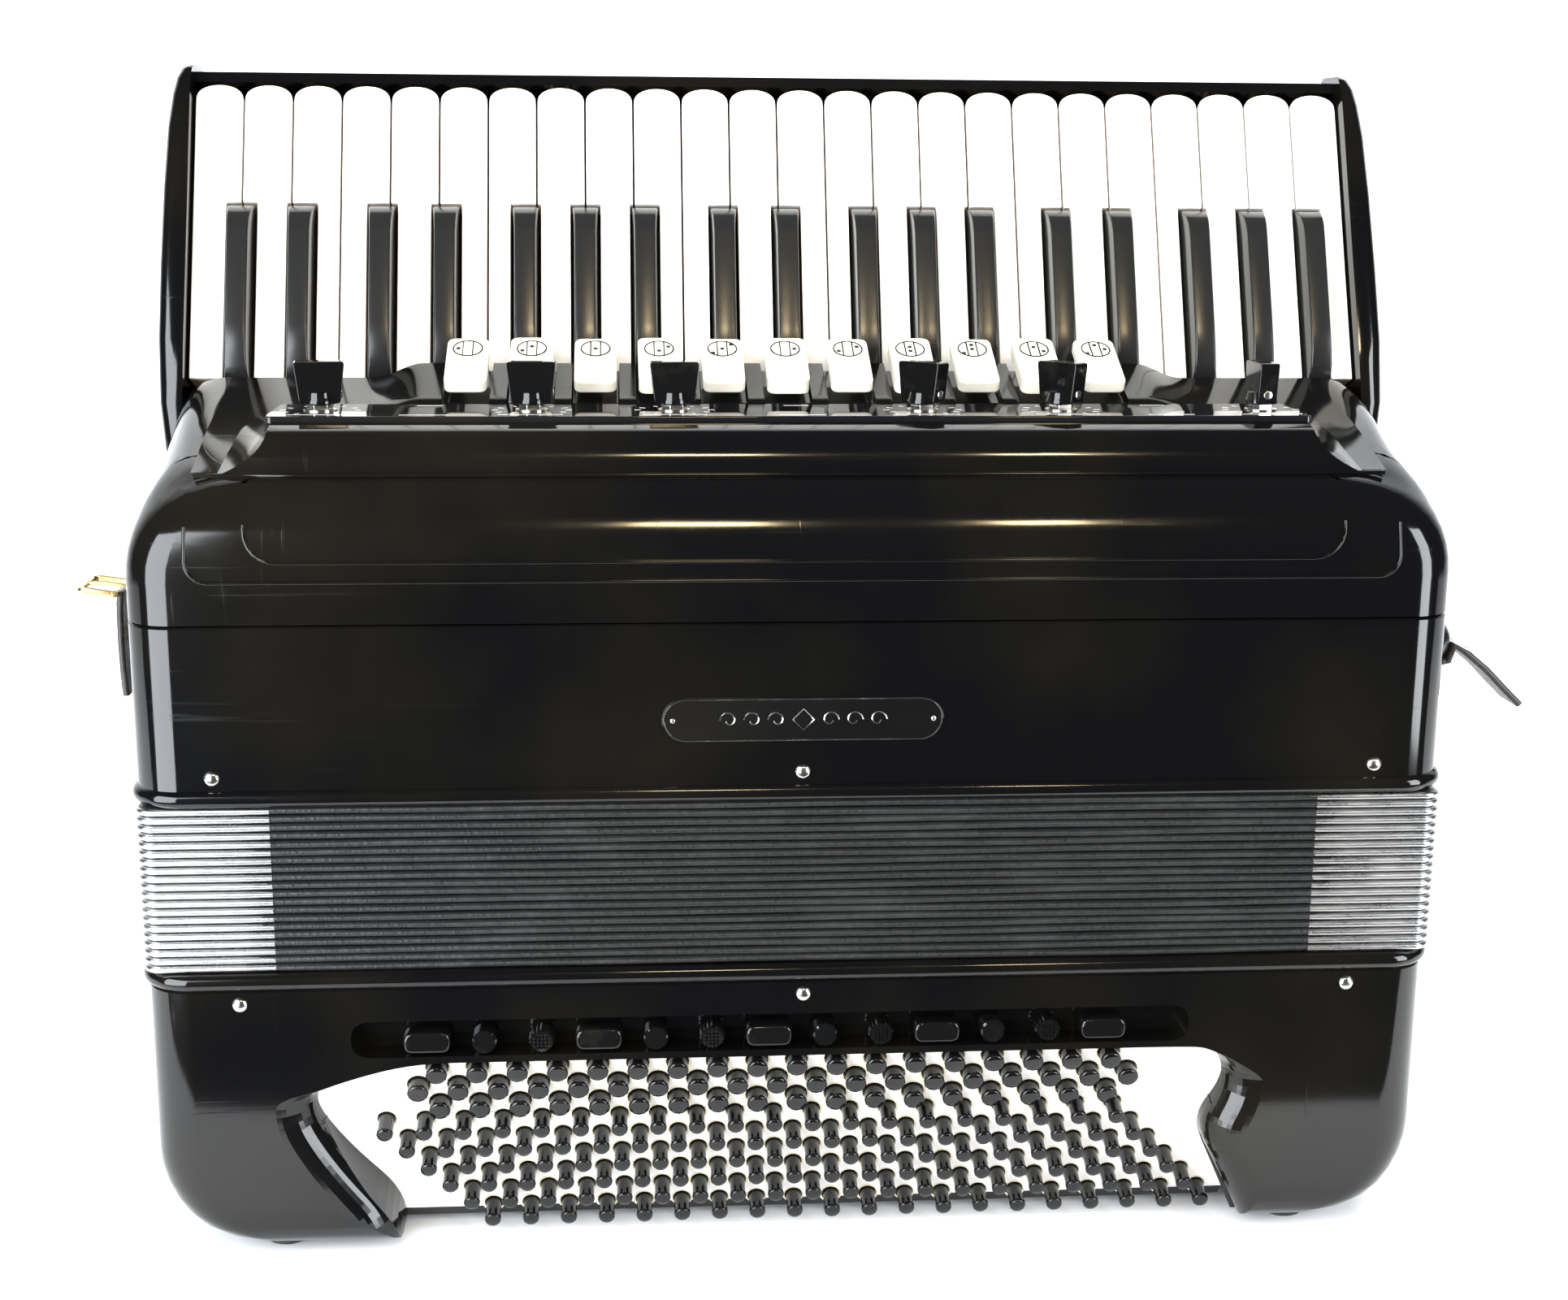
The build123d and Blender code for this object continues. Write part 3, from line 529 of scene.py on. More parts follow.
def rounded_path(half_w: float, y0: float, y1: float, radius: float, steps: int) -> list[PathPoint]:
    """A closed rounded rectangle in plan, from the front left corner round to the left side.

    Args:
        half_w: half its width.
        y0: its front.
        y1: its back.
        radius: radius of its corners.
        steps: runs in each corner.

    Returns:
        The points with their outward normals.
    """
    corners = [(-half_w + radius, y0 + radius, 180), (half_w - radius, y0 + radius, 270),
               (half_w - radius, y1 - radius, 0), (-half_w + radius, y1 - radius, 90)]
    points = []
    for cx, cy, start in corners:
        points += [PathPoint(cx + radius * nx, cy + radius * ny, nx, ny)
                   for nx, ny in fan(start, 90 / steps, steps + 1)]
    return points


def case_path() -> list[PathPoint]:
    """The plan outline of the cases."""
    return rounded_path(CASE_HALF_W, 0, CASE_DEPTH, CASE_RADIUS, CORNER_STEPS)


def sweep(bm: bmesh.types.BMesh, path: Sequence[PathPoint], profile: Sequence[Point2], ring: bool = True) -> None:
    """Carries a closed profile of (inset, z) points along a plan path."""
    sections = [[Body.at(p.x - p.nx * d, p.y - p.ny * d, z) for d, z in profile] for p in path]
    loft(bm, sections, closed=True, caps=not ring, ring=ring)


def prism(bm: bmesh.types.BMesh, outline: Sequence[Vector], along: Vector, bevel: float = 0.0,
          segments: int = 2) -> None:
    """Extrudes a flat outline by a vector and rounds its edges.

    Args:
        bm: the mesh to add to.
        outline: the flat outline's points.
        along: the way and length of the extrusion.
        bevel: width of the rounding in millimetres, 0 for none.
        segments: faces across the rounding.
    """
    start = len(bm.faces)
    face = bm.faces.new([bm.verts.new(point) for point in outline])
    grown = bmesh.ops.extrude_face_region(bm, geom=[face])["geom"]
    moved = [item for item in grown if isinstance(item, bmesh.types.BMVert)]
    bmesh.ops.translate(bm, verts=moved, vec=along)
    bm.faces.ensure_lookup_table()
    if bevel:
        fresh = bm.faces[start:]
        soften(bm, {edge for item in fresh for edge in item.edges if edge.calc_face_angle(0) > SHARP}, bevel, segments)


def soften(bm: bmesh.types.BMesh, edges: Iterable[bmesh.types.BMEdge], width: float, segments: int = 2) -> None:
    """Rounds edges by a width in millimetres."""
    bmesh.ops.bevel(bm, geom=list(edges), offset=width * MM, offset_type="OFFSET", segments=segments, profile=0.5,
                    affect="EDGES", clamp_overlap=True, material=-1)


def block(bm: bmesh.types.BMesh, low: Sequence[float], high: Sequence[float], bevel: float = 0.5,
          turn: Matrix | None = None) -> None:
    """A rounded block between two corners in body millimetres, turned about its own middle.

    Args:
        bm: the mesh to add to.
        low: the lowest corner.
        high: the highest corner.
        bevel: width of the rounding, 0 for none.
        turn: a rotation about the block's middle.
    """
    centre = Body.at(*[(a + b) / 2 for a, b in zip(low, high)])
    size = [(b - a) * MM for a, b in zip(low, high)]
    matrix = Matrix.Translation(centre) @ (turn or Matrix.Identity(4)) @ Matrix.Diagonal((*size, 1))
    made = bmesh.ops.create_cube(bm, size=1.0, matrix=matrix)["verts"]
    if bevel:
        soften(bm, {edge for vert in made for edge in vert.link_edges}, bevel)


def turned(bm: bmesh.types.BMesh, profile: Sequence[Point2], matrix: Matrix, steps: int = 16) -> None:
    """Turns a profile about the Z axis of a matrix.

    Args:
        bm: the mesh to add to.
        profile: (radius, height) points in millimetres; a radius of 0 closes an end.
        matrix: where the turned shape stands.
        steps: faces round the axis.
    """
    older = set(bm.verts)
    verts = [bm.verts.new((r * MM, 0, h * MM)) for r, h in profile]
    edges = [bm.edges.new(pair) for pair in zip(verts, verts[1:])]
    bmesh.ops.spin(bm, geom=verts + edges, cent=(0, 0, 0), axis=(0, 0, 1), angle=2 * math.pi, steps=steps,
                   use_merge=True, use_duplicate=False)
    bmesh.ops.remove_doubles(bm, verts=[vert for vert in bm.verts if vert not in older], dist=MERGE)
    bmesh.ops.transform(bm, matrix=matrix, verts=[vert for vert in bm.verts if vert not in older])


def frame_at(point: Vector, out: Sequence[float], up: Sequence[float] = (0, 0, 1)) -> Matrix:
    """A matrix at a point whose Z axis looks along out.

    Args:
        point: its origin, in frame metres.
        out: the direction of its Z axis.
        up: the direction that its Y axis leans to.

    Returns:
        The matrix.
    """
    z = Vector(out).normalized()
    x = Vector(up).cross(z)
    x = x.normalized() if x.length > 1e-6 else Vector((1, 0, 0))
    y = z.cross(x)
    return Matrix.Translation(point) @ Matrix((x, y, z)).transposed().to_4x4()


def tube(bm: bmesh.types.BMesh, route: Sequence[Vector], radius: float, sides: int = 8, ring: bool = False,
         flat: float = 1.0) -> None:
    """A round or flattened bar along a route of frame points.

    Args:
        bm: the mesh to add to.
        route: the points of its middle line.
        radius: its radius in millimetres.
        sides: faces round it.
        ring: whether its end joins its start.
        flat: its height as a share of its width.
    """
    sections = []
    count = len(route)
    for i, point in enumerate(route):
        after = route[(i + 1) % count] if ring else route[min(i + 1, count - 1)]
        before = route[(i - 1) % count] if ring else route[max(i - 1, 0)]
        forward = (after - before).normalized()
        side = forward.cross(Vector((0, 1, 0)))
        side = side.normalized() if side.length > 0.2 else forward.cross(Vector((1, 0, 0))).normalized()
        up = side.cross(forward)
        sections.append([point + (side * math.cos(a) + up * math.sin(a) * flat) * radius * MM
                         for a in [2 * math.pi * k / sides for k in range(sides)]])
    loft(bm, sections, closed=True, caps=not ring, ring=ring)


class Workshop:
    """Turns finished bmeshes into pieces of the scene."""

    def piece(self, bm: bmesh.types.BMesh, name: str, finish: Finish, body: str,
              stands_for: Sequence[str] = (), sharp: float = 40.0, ride: bool = True) -> bpy.types.Object:
        """Closes a mesh's normals, shades it, dresses it and ties it to a body.

        Args:
            bm: the mesh; it is freed.
            name: the piece's name.
            finish: its finish.
            body: the CAD body that it rides on.
            stands_for: CAD nodes that it replaces.
            sharp: edges that turn more than this many degrees stay sharp.
            ride: False to leave the piece tied to no body.

        Returns:
            The new object.
        """
        bmesh.ops.remove_doubles(bm, verts=bm.verts, dist=MERGE)
        bmesh.ops.recalc_face_normals(bm, faces=bm.faces)
        mesh = bpy.data.meshes.new(name)
        bm.to_mesh(mesh)
        bm.free()
        mesh.shade_smooth()
        mesh.set_sharp_from_angle(angle=math.radians(sharp))
        made = bpy.data.objects.new(name, mesh)
        bpy.context.scene.collection.objects.link(made)
        made.data.materials.append(finish.material)
        even = made.modifiers.new("even_normals", "WEIGHTED_NORMAL")
        even.keep_sharp = True
        if ride:
            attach(made, body)
        if stands_for:
            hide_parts(*stands_for)
        LOG.info("%s: %d faces on %s", name, len(mesh.polygons), body)
        return made

    def dress(self, node: str, finish: Finish) -> None:
        """Gives a CAD node that stays its finish.

        Args:
            node: the CAD node's name.
            finish: its finish.
        """
        target = frame["nodes"][node]
        target.data.materials.clear()
        target.data.materials.append(finish.material)


SHOP = Workshop()
TREBLE = "treble_section"
BASS = "bass_section"


def rounded_polygon(outline: Sequence[Point2], radius: float, steps: int = 4) -> list[Point2]:
    """Rounds the corners of a closed outline with quadratic arcs.

    Args:
        outline: the corners in order.
        radius: the most that a rounding takes from an edge.
        steps: runs in each rounding.

    Returns:
        The points of the rounded outline.
    """
    points = []
    for i, place in enumerate(outline):
        corner, before, after = Vector(place), Vector(outline[i - 1]), Vector(outline[(i + 1) % len(outline)])
        a = corner + (before - corner).normalized() * min(radius, (before - corner).length * 0.45)
        b = corner + (after - corner).normalized() * min(radius, (after - corner).length * 0.45)
        for k in range(steps + 1):
            t = k / steps
            p = a * (1 - t) ** 2 + corner * 2 * t * (1 - t) + b * t ** 2
            points.append((p.x, p.y))
    return points


def moulding(name: str, low: float, high: float, body: str, node: str) -> None:
    """One rounded moulding round the cases, proud of them.

    Args:
        name: the piece's name.
        low: its lower edge.
        high: its upper edge.
        body: the body that it rides on.
        node: the CAD node that it stands for.
    """
    mid, half, cover, proud, swell = (low + high) / 2, (high - low) / 2, 8, 1.4, 3.6
    profile = [(cover, low)] + [(proud - swell * c, mid + half * s) for c, s in fan(-90, 18, 11)] + [(cover, high)]
    bm = bmesh.new()
    sweep(bm, case_path(), profile)
    SHOP.piece(bm, name, Finish.BLACK, body, [node])


def pin(bm: bmesh.types.BMesh, place: Vector, out: Sequence[float], scale: float = 2.9) -> None:
    """A domed pin.

    Args:
        bm: the mesh to add to.
        place: the middle of its foot.
        out: the direction that it stands in.
        scale: its radius.
    """
    dome = [(scale * c, scale * 0.55 * s) for c, s in fan(0, 15, 7)]
    turned(bm, [(0, -0.5), (scale, -0.5)] + dome, frame_at(place, out), 14)


def bellows_pins(name: str, places: Sequence[float], z: float, body: str, node: str) -> None:
    """A row of bellows pins on the front of a case and one on its back.

    Args:
        name: the piece's name.
        places: X of the pins.
        z: their height.
        body: the body that they ride on.
        node: the CAD node that they stand for.
    """
    bm = bmesh.new()
    for x in places:
        pin(bm, Body.at(x, 0, z), (0, -1, 0))
        pin(bm, Body.at(x, CASE_DEPTH, z), (0, 1, 0))
    SHOP.piece(bm, name, Finish.NICKEL, body, [node])


def toothed(bm: bmesh.types.BMesh, matrix: Matrix, count: int, root: float, tip: float,
            rings: Sequence[Point2]) -> None:
    """A round cap with teeth along its rim.

    Args:
        bm: the mesh to add to.
        matrix: where it stands.
        count: how many teeth it has.
        root: radius between the teeth.
        tip: radius at the teeth.
        rings: (share of the radius, height) of its contours.
    """
    radii = [(tip if k % 2 else root) * MM for k in range(2 * count)]
    teeth = [(r * c, r * s) for r, (c, s) in zip(radii, fan(0, 180 / count, 2 * count))]
    loft(bm, [[matrix @ Vector((u * scale, v * scale, h * MM)) for u, v in teeth] for scale, h in rings])


# ---------------------------------------------------------------------------------------------
# Treble end
# ---------------------------------------------------------------------------------------------
@dataclass
class TrebleCase:
    """The upper box with its moulded frame, pins and nameplate."""

    low: float = 193.5
    seam: float = 255.7
    chamfer: float = 0.8
    wall: float = 6.0
    frame: tuple[float, float] = (187.0, 194.0)
    pins: tuple[float, ...] = (-219.0, 0.0, 220.0)
    pin_z: float = 198.5
    plate: tuple[float, float] = (53.0, 8.5)
    plate_z: float = 219.0

    def build(self) -> None:
        """Builds the box, the frame, the pins and the plate."""
        bm = bmesh.new()
        sweep(bm, case_path(), [(0, self.low), (0, self.seam - self.chamfer), (self.chamfer, self.seam),
                                (self.wall, self.seam), (self.wall, self.low)])
        SHOP.piece(bm, "upper_box", Finish.BLACK, TREBLE, ["treble_case"])
        moulding("upper_frame", *self.frame, TREBLE, "treble_frame")
        bellows_pins("upper_pins", self.pins, self.pin_z, TREBLE, "treble_pins")
        self.build_plate()

    def build_plate(self) -> None:
        """The oval plate with its thin rim, a plain scroll and two tiny nails."""
        half_w, half_h = self.plate
        mid, face = self.plate_z, -0.95
        outline = [(math.copysign(half_w - half_h, c) + half_h * c, half_h * s) for c, s in fan(3.75, 7.5, 48)]
        bm = bmesh.new()
        prism(bm, [Body.at(x, 0.1, mid + z) for x, z in outline], Vector((0, -1.0 * MM, 0)), 0.25)
        SHOP.piece(bm, "oval_plate", Finish.PLATE, TREBLE, ["nameplate"])
        bm = bmesh.new()
        tube(bm, [Body.at(x * 0.985, face, mid + z * 0.93) for x, z in outline], 0.28, 6, ring=True)
        for side in (-1, 1):
            pin(bm, Body.at(side * 49, -0.9, mid), (0, -1, 0), 1.0)
            for k in range(3):
                curl = [Body.at(side * (10 + 9 * k + 3.4 * math.cos(t) * (1 - t / 9)), -1.0,
                                mid + 3.4 * math.sin(t) * (1 - t / 9)) for t in [j * 0.5 for j in range(13)]]
                tube(bm, curl, 0.3, 5)
        tube(bm, [Body.at(x, face, mid + z) for x, z in ((-4, 0), (0, 4), (4, 0), (0, -4))], 0.3, 5, ring=True)
        SHOP.piece(bm, "plate_rim", Finish.NICKEL, TREBLE)


def unit(value: float) -> float:
    """A value held between 0 and 1."""
    return min(1.0, max(0.0, value))


def tab_places() -> list[float]:
    """X of the register tabs, which dip into the cover."""
    return [(i - (TAB_COUNT - 1) / 2) * TAB_PITCH for i in range(TAB_COUNT)]


@dataclass
class Cover:
    """The curved cover over the treble valves, with the block and the plate for the knobs."""

    seam: float = 256.3
    skirt: float = 271.0
    shoulder: float = 24.0
    fall: float = 36.0
    step: tuple[float, float] = (20.0, 308.0)
    back: tuple[float, float] = (118.0, 335.0)
    plate_z: float = 328.0
    plate_front: float = 39.0
    plate_back: float = 82.0
    plate_half_w: float = 200.0

    def surface(self, y: float) -> float:
        """Height of the cover's top at a depth."""
        return self.step[1] + (y - self.step[0]) * (self.back[1] - self.step[1]) / (self.back[0] - self.step[0])

    def drop(self, inset: float) -> float:
        """How far the rounded edge lies below the top at an inset from the outline.

        Args:
            inset: distance in from the outline.

        Returns:
            The drop, 0 past the shoulder.
        """
        if inset >= self.shoulder:
            return 0.0
        t = (self.shoulder - inset) / self.shoulder
        return self.fall * (1 - math.sqrt(max(0.0, 1 - t * t)))

    def lift(self, x: float, y: float) -> float:
        """Height above the plain slope: the plateau behind the panel, the horns and the dips under the tabs.

        Args:
            x: distance from the middle.
            y: distance behind the front.

        Returns:
            The extra height, below 0 in a dip.
        """
        u, v = unit((168 - abs(x)) / 20), unit((y - 80) / 6)
        plateau = (u * u * (3 - 2 * u)) * (v * v * (3 - 2 * v)) * (3 + 3 * unit((y - 83) / 34))
        crest = 222 + 27 * (y - 22) / 96
        rise = 9.0 * unit((y - 25) / 90) ** 1.3
        breadth = 11 if abs(x) < crest else 6
        horn = rise * math.exp(-((crest - abs(x)) / breadth) ** 2)
        under_tab = 84.5 < y < 119 and any(abs(x - tab) < 9.3 for tab in tab_places())
        return plateau + horn - (3.2 if under_tab else 0.0)

    def build(self) -> None:
        """Builds the cover, its grooves, the block, the plate and its markings."""
        bm = bmesh.new()
        insets = [self.shoulder * (1 - math.cos(math.radians(a))) for a in range(0, 91, 9)]
        wall = [self.row(0.0, flat_z=z) for z in (self.seam, self.skirt - 1.0)]
        loft(bm, wall + [self.row(inset) for inset in insets], closed=False)
        depths = [self.shoulder, *(26 + 2.2 * k for k in range(26)), 83, 84.2, 84.8, *(87 + 2.2 * k for k in range(15))]
        loft(bm, [[self.top_point(x, y) for x in self.stations()] for y in depths], closed=False)
        SHOP.piece(bm, "treble_cover", Finish.BLACK, TREBLE, ["grille"], 75)
        self.build_grooves()
        self.build_block()
        self.build_plate()

    def stations(self) -> list[float]:
        """X places across the flat part of the cover, closer at the horns and at each tab's sides.

        Returns:
            The places from left to right.
        """
        edge = CASE_HALF_W - self.shoulder
        marks = [12.0 * k for k in range(12)] + [138.0 + 3 * k for k in range(12)] + [174.0 + 2 * k for k in range(26)]
        marks += [abs(tab + reach) for tab in tab_places() for reach in (-9.6, -9.0, 9.0, 9.6)]
        marks = sorted({round(x, 2) for x in marks})
        right = [x for x in marks if x < edge] + [edge]
        return [-x for x in reversed(right)] + right[1:]

    def top_point(self, x: float, y: float) -> Vector:
        """A point of the flat top."""
        return Body.at(x, y, self.surface(y) + self.lift(x, y) - 0.02)

    def row(self, inset: float, flat_z: float | None = None) -> Loop:
        """One contour of the rounded edge, from the back left round the front to the back right.

        Args:
            inset: distance in from the outline.
            flat_z: one height for the whole contour, or None for the rounded surface.

        Returns:
            The contour's points.
        """
        radius = CASE_RADIUS + 12 * inset / self.shoulder
        half = CASE_HALF_W - inset
        side = [self.back[0] - 3.2 * k for k in range(26)]
        trail = [(-half, y) for y in side]
        trail += [(radius * (1 + c) - half, inset + radius * (1 + s)) for c, s in fan(180, 11.25, 9)]
        trail += [(12.0 * k - 204, inset) for k in range(35)]
        trail += [(half - radius * (1 - c), inset + radius * (1 + s)) for c, s in fan(270, 11.25, 9)]
        trail += [(half, y) for y in reversed(side)]
        if flat_z is not None:
            return [Body.at(x, y, flat_z) for x, y in trail]
        drop = self.drop(inset)
        points = []
        for x, y in trail:
            z = self.surface(max(self.step[0], y)) - drop + self.lift(x, y) * (1 - drop / self.fall)
            points.append(Body.at(x, y, max(z, self.skirt)))
        return points

    def face(self, z: float) -> float:
        """Depth of the rounded front at a height.

        Args:
            z: a height on the rounded front.

        Returns:
            The distance behind the front plane, found by halving.
        """
        low, high = 0.0, self.shoulder
        for _ in range(24):
            middle = (low + high) / 2
            if self.surface(self.step[0]) - self.drop(middle) < z:
                low = middle
            else:
                high = middle
        return low

    def build_grooves(self) -> None:
        """Two fine contour lines on the front, turned down at the ends."""
        bm = bmesh.new()
        for half, top, bottom, radius in ((225.0, 292.0, 272.0, 8.0), (204.0, 292.5, 279.0, 12.0)):
            bend = fan(0, 15, 7)
            route = [(-half, top), *((radius * (1 - c) - half, bottom + radius * (1 - s)) for c, s in bend)]
            route += [(x, bottom) for x in range(int(-half + radius + 8), int(half - radius - 7), 12)]
            route += [*((half - radius * (1 - s), bottom + radius * (1 - c)) for c, s in bend), (half, top)]
            tube(bm, [Body.at(x, self.face(z) - 0.05, z) for x, z in route], 0.75, 8)
        ledge = [Body.at(x, 20.5 if abs(x) < 200 else 21.5, self.surface(20.5) + 0.1) for x in range(-224, 225, 8)]
        tube(bm, ledge, 0.9, 8)
        SHOP.piece(bm, "cover_grooves", Finish.BLACK, TREBLE, (), 60)

    def build_block(self) -> None:
        """The raised block below the knobs: convex front, hollowed ends."""
        bm = bmesh.new()
        sections = []
        for k in range(13):
            t = k / 12
            fore = 21.0 + 17.5 * (1 - math.sqrt(max(0.0, 1 - t ** 2.2)))
            half = 198 + 20 * (1 - t) ** 2.4
            z = self.surface(21) + 18.5 * t - 1.0
            slope = (self.surface(84) - self.surface(21)) * (1 - t)
            side = [(half + 4 * (1 - t) * j / 6, fore + (84 - fore) * j / 6, min(z + slope * j / 6, self.plate_z - 2.9))
                    for j in range(1, 7)]
            outline = [(-x, y, h) for x, y, h in reversed(side)]
            outline += [(-half + 2 * half * j / 24, fore, z) for j in range(25)] + side
            sections.append([Body.at(*place) for place in outline])
        loft(bm, sections, closed=False)
        SHOP.piece(bm, "panel_block", Finish.BLACK, TREBLE, (), 50)

    def build_plate(self) -> None:
        """The glossy plate with its white rings, ticks and lines."""
        bm = bmesh.new()
        half, fore, back = self.plate_half_w, self.plate_front, self.plate_back
        outline = rounded_polygon([(-half, fore), (half, fore), (half + 1, fore + 6), (half + 1, back),
                                   (-half - 1, back), (-half - 1, fore + 6)], 2.0)
        prism(bm, [Body.at(x, y, self.plate_z - 3) for x, y in outline], Vector((0, 0, 3 * MM)), 0.6, 3)
        SHOP.piece(bm, "knob_plate", Finish.PANEL, TREBLE, ["control_panel"], 40)
        bm = bmesh.new()
        top = self.plate_z + 0.06
        for x in KNOB_PLACES:
            for c, s in fan(-60, 30, 11):
                strip(bm, (x + 13 * c, KNOB_Y + 13 * s), (x + 15.5 * c, KNOB_Y + 15.5 * s), 0.5, top)
            strip(bm, (x - 12, 44.6), (x + 12, 44.6), 0.35, top)
            for k in (-1, 1):
                strip(bm, (x + k * 12, 44.6), (x + k * 12, 47.4), 0.35, top)
        for a, b in zip(KNOB_PLACES, KNOB_PLACES[1:]):
            middle = (a + b) / 2
            if b - a > 60:
                strip(bm, (middle - 9, 43.6), (middle + 9, 43.6), 0.5, top)
                strip(bm, (middle - 5, 76.0), (middle + 5, 76.0), 0.5, top)
        SHOP.piece(bm, "plate_markings", Finish.KEY_WHITE, TREBLE, (), 30)


def strip(bm: bmesh.types.BMesh, start: Point2, end: Point2, width: float, z: float) -> None:
    """A thin printed line on a level surface.

    Args:
        bm: the mesh to add to.
        start: (X, Y) of one end.
        end: (X, Y) of the other.
        width: its width.
        z: height of its face.
    """
    a, b = Vector(start), Vector(end)
    side = (b - a).normalized().orthogonal() * width / 2
    prism(bm, [Body.at(p.x, p.y, z) for p in (a - side, b - side, b + side, a + side)], Vector((0, 0, -0.1 * MM)))


@dataclass
class Knobs:
    """Six pointer knobs on threaded bushings."""

    turns: tuple[float, ...] = (8.0, 0.0, 2.0, -44.0, -50.0, -88.0)
    base: float = 328.0

    def build(self) -> None:
        """Builds the nuts and the knobs."""
        bm = bmesh.new()
        for x in KNOB_PLACES:
            matrix = frame_at(Body.at(x, KNOB_Y, self.base), (0, 0, 1), (0, 1, 0))
            turned(bm, [(0, 0), (6.4, 0), (6.4, 0.5), (5.6, 0.7), (0, 0.7)], matrix, 24)
            hexagon = [Body.at(x + 5.1 * c, KNOB_Y + 5.1 * s, self.base + 0.7) for c, s in fan(10, 60, 6)]
            prism(bm, hexagon, Vector((0, 0, 1.7 * MM)), 0.25)
            turned(bm, [(0, 2), (3.1, 2), (3.1, 4.4), (0, 4.4)], matrix, 16)
        SHOP.piece(bm, "knob_bushings", Finish.NICKEL, TREBLE, ["knob_nuts"])
        for i, (x, turn) in enumerate(zip(KNOB_PLACES, self.turns), 1):
            self.build_knob(i, x, turn)

    def build_knob(self, number: int, x: float, turn: float) -> None:
        """One knob: a skirted round body with a flat wing and a set screw.

        Args:
            number: its number, from the left.
            x: its place.
            turn: how far its wing is turned, in degrees.
        """
        matrix = frame_at(Body.at(x, KNOB_Y, self.base + 2.5), (0, 0, 1), (0, 1, 0))
        bm = bmesh.new()
        turned(bm, [(0, 0), (6.0, 0), (6.4, 0.4), (6.4, 1.4), (5.9, 2.0), (5.4, 4.5), (0, 4.5)], matrix, 24)
        wing = Matrix.Translation(Body.at(x, KNOB_Y, self.base)) @ Matrix.Rotation(math.radians(turn), 4, "Z")
        outline, thick = [(-7.8, 2.8), (7.8, 2.8), (9.7, 18.9), (-9.7, 18.9)], 7.6
        points = [wing @ Vector((u * MM, -thick / 2 * MM, v * MM)) for u, v in rounded_polygon(outline, 1.5, 3)]
        prism(bm, points, (wing.to_3x3() @ Vector((0, 1, 0))) * thick * MM, 0.9, 3)
        SHOP.piece(bm, f"pointer_knob_{number}", Finish.BUTTON, f"knob_{number}", [f"knob_{number}"])
        bm = bmesh.new()
        screw = frame_at(wing @ Vector((8.1 * MM, 0, 6.4 * MM)), wing.to_3x3() @ Vector((1, 0, 0)))
        turned(bm, [(0, -0.4), (1.7, -0.4), (1.7, 0.35), (1.35, 0.55), (0, 0.55)], screw, 14)
        SHOP.piece(bm, f"knob_screw_{number}", Finish.NICKEL, f"knob_{number}")


@dataclass
class Switches:
    """Eleven cream tabs behind the panel, each with a register sign."""

    size: tuple[float, float, float] = (17.0, 34.0, 5.6)
    tilt: float = 26.0
    at: tuple[float, float] = (101.0, 341.5)
    ring: tuple[float, float] = (5.9, 8.5)
    signs: tuple[tuple[int, ...], ...] = (
        (0,), (0, 1), (1,), (1, 2), (0, 1, 2), (2,), (0, 2), (1, 1), (0, 1, 1), (2, 1), (0, 2, 1))

    def build(self) -> None:
        """Builds the tabs and their signs."""
        tabs, ink = bmesh.new(), bmesh.new()
        w, l, t = self.size
        outline = rounded_polygon([(-w / 2, -l / 2), (w / 2, -l / 2), (w / 2, l / 2), (-w / 2, l / 2)], 3.6, 5)
        for x, levels in zip(tab_places(), self.signs):
            matrix = Matrix.Translation(Body.at(x, *self.at)) @ Matrix.Rotation(math.radians(self.tilt), 4, "X")
            up = (matrix.to_3x3() @ Vector((0, 0, 1))) * t * MM
            prism(tabs, [matrix @ Vector((u * MM, v * MM, -t / 2 * MM)) for u, v in outline], up, 1.1, 3)
            self.sign(ink, matrix, levels)
        SHOP.piece(tabs, "register_tabs", Finish.CREAM, "register_switches", ["register_switches"], 50)
        SHOP.piece(ink, "register_signs", Finish.BUTTON, "register_switches")

    def sign(self, bm: bmesh.types.BMesh, matrix: Matrix, levels: Sequence[int]) -> None:
        """A ringed sign with two bars and its dots.

        Args:
            bm: the mesh to add to.
            matrix: where the tab stands.
            levels: the band of each dot, 0 to 2.
        """
        top = self.size[2] / 2 + 0.02
        radius, centre = self.ring
        bar, band, dot, gap = 2.0, 3.8, 0.95, 3.2

        def on_top(u: float, v: float) -> Vector:
            """A point of the tab's face, in millimetres from the ring's middle."""
            return matrix @ Vector((u * MM, (v + centre) * MM, top * MM))

        tube(bm, [on_top(radius * c, radius * s) for c, s in fan(0, 18, 20)], 0.36, 5, ring=True)
        reach = math.sqrt(radius ** 2 - bar ** 2)
        for u in (-bar, bar):
            tube(bm, [on_top(u, -reach), on_top(u, reach)], 0.32, 5)
        for k, level in enumerate(levels):
            place = on_top((level - 1) * band, (k - (len(levels) - 1) / 2) * gap)
            turned(bm, [(0, -0.1), (dot, -0.1), (dot, 0.12), (0, 0.15)],
                   Matrix.Translation(place) @ matrix.to_3x3().to_4x4(), 10)


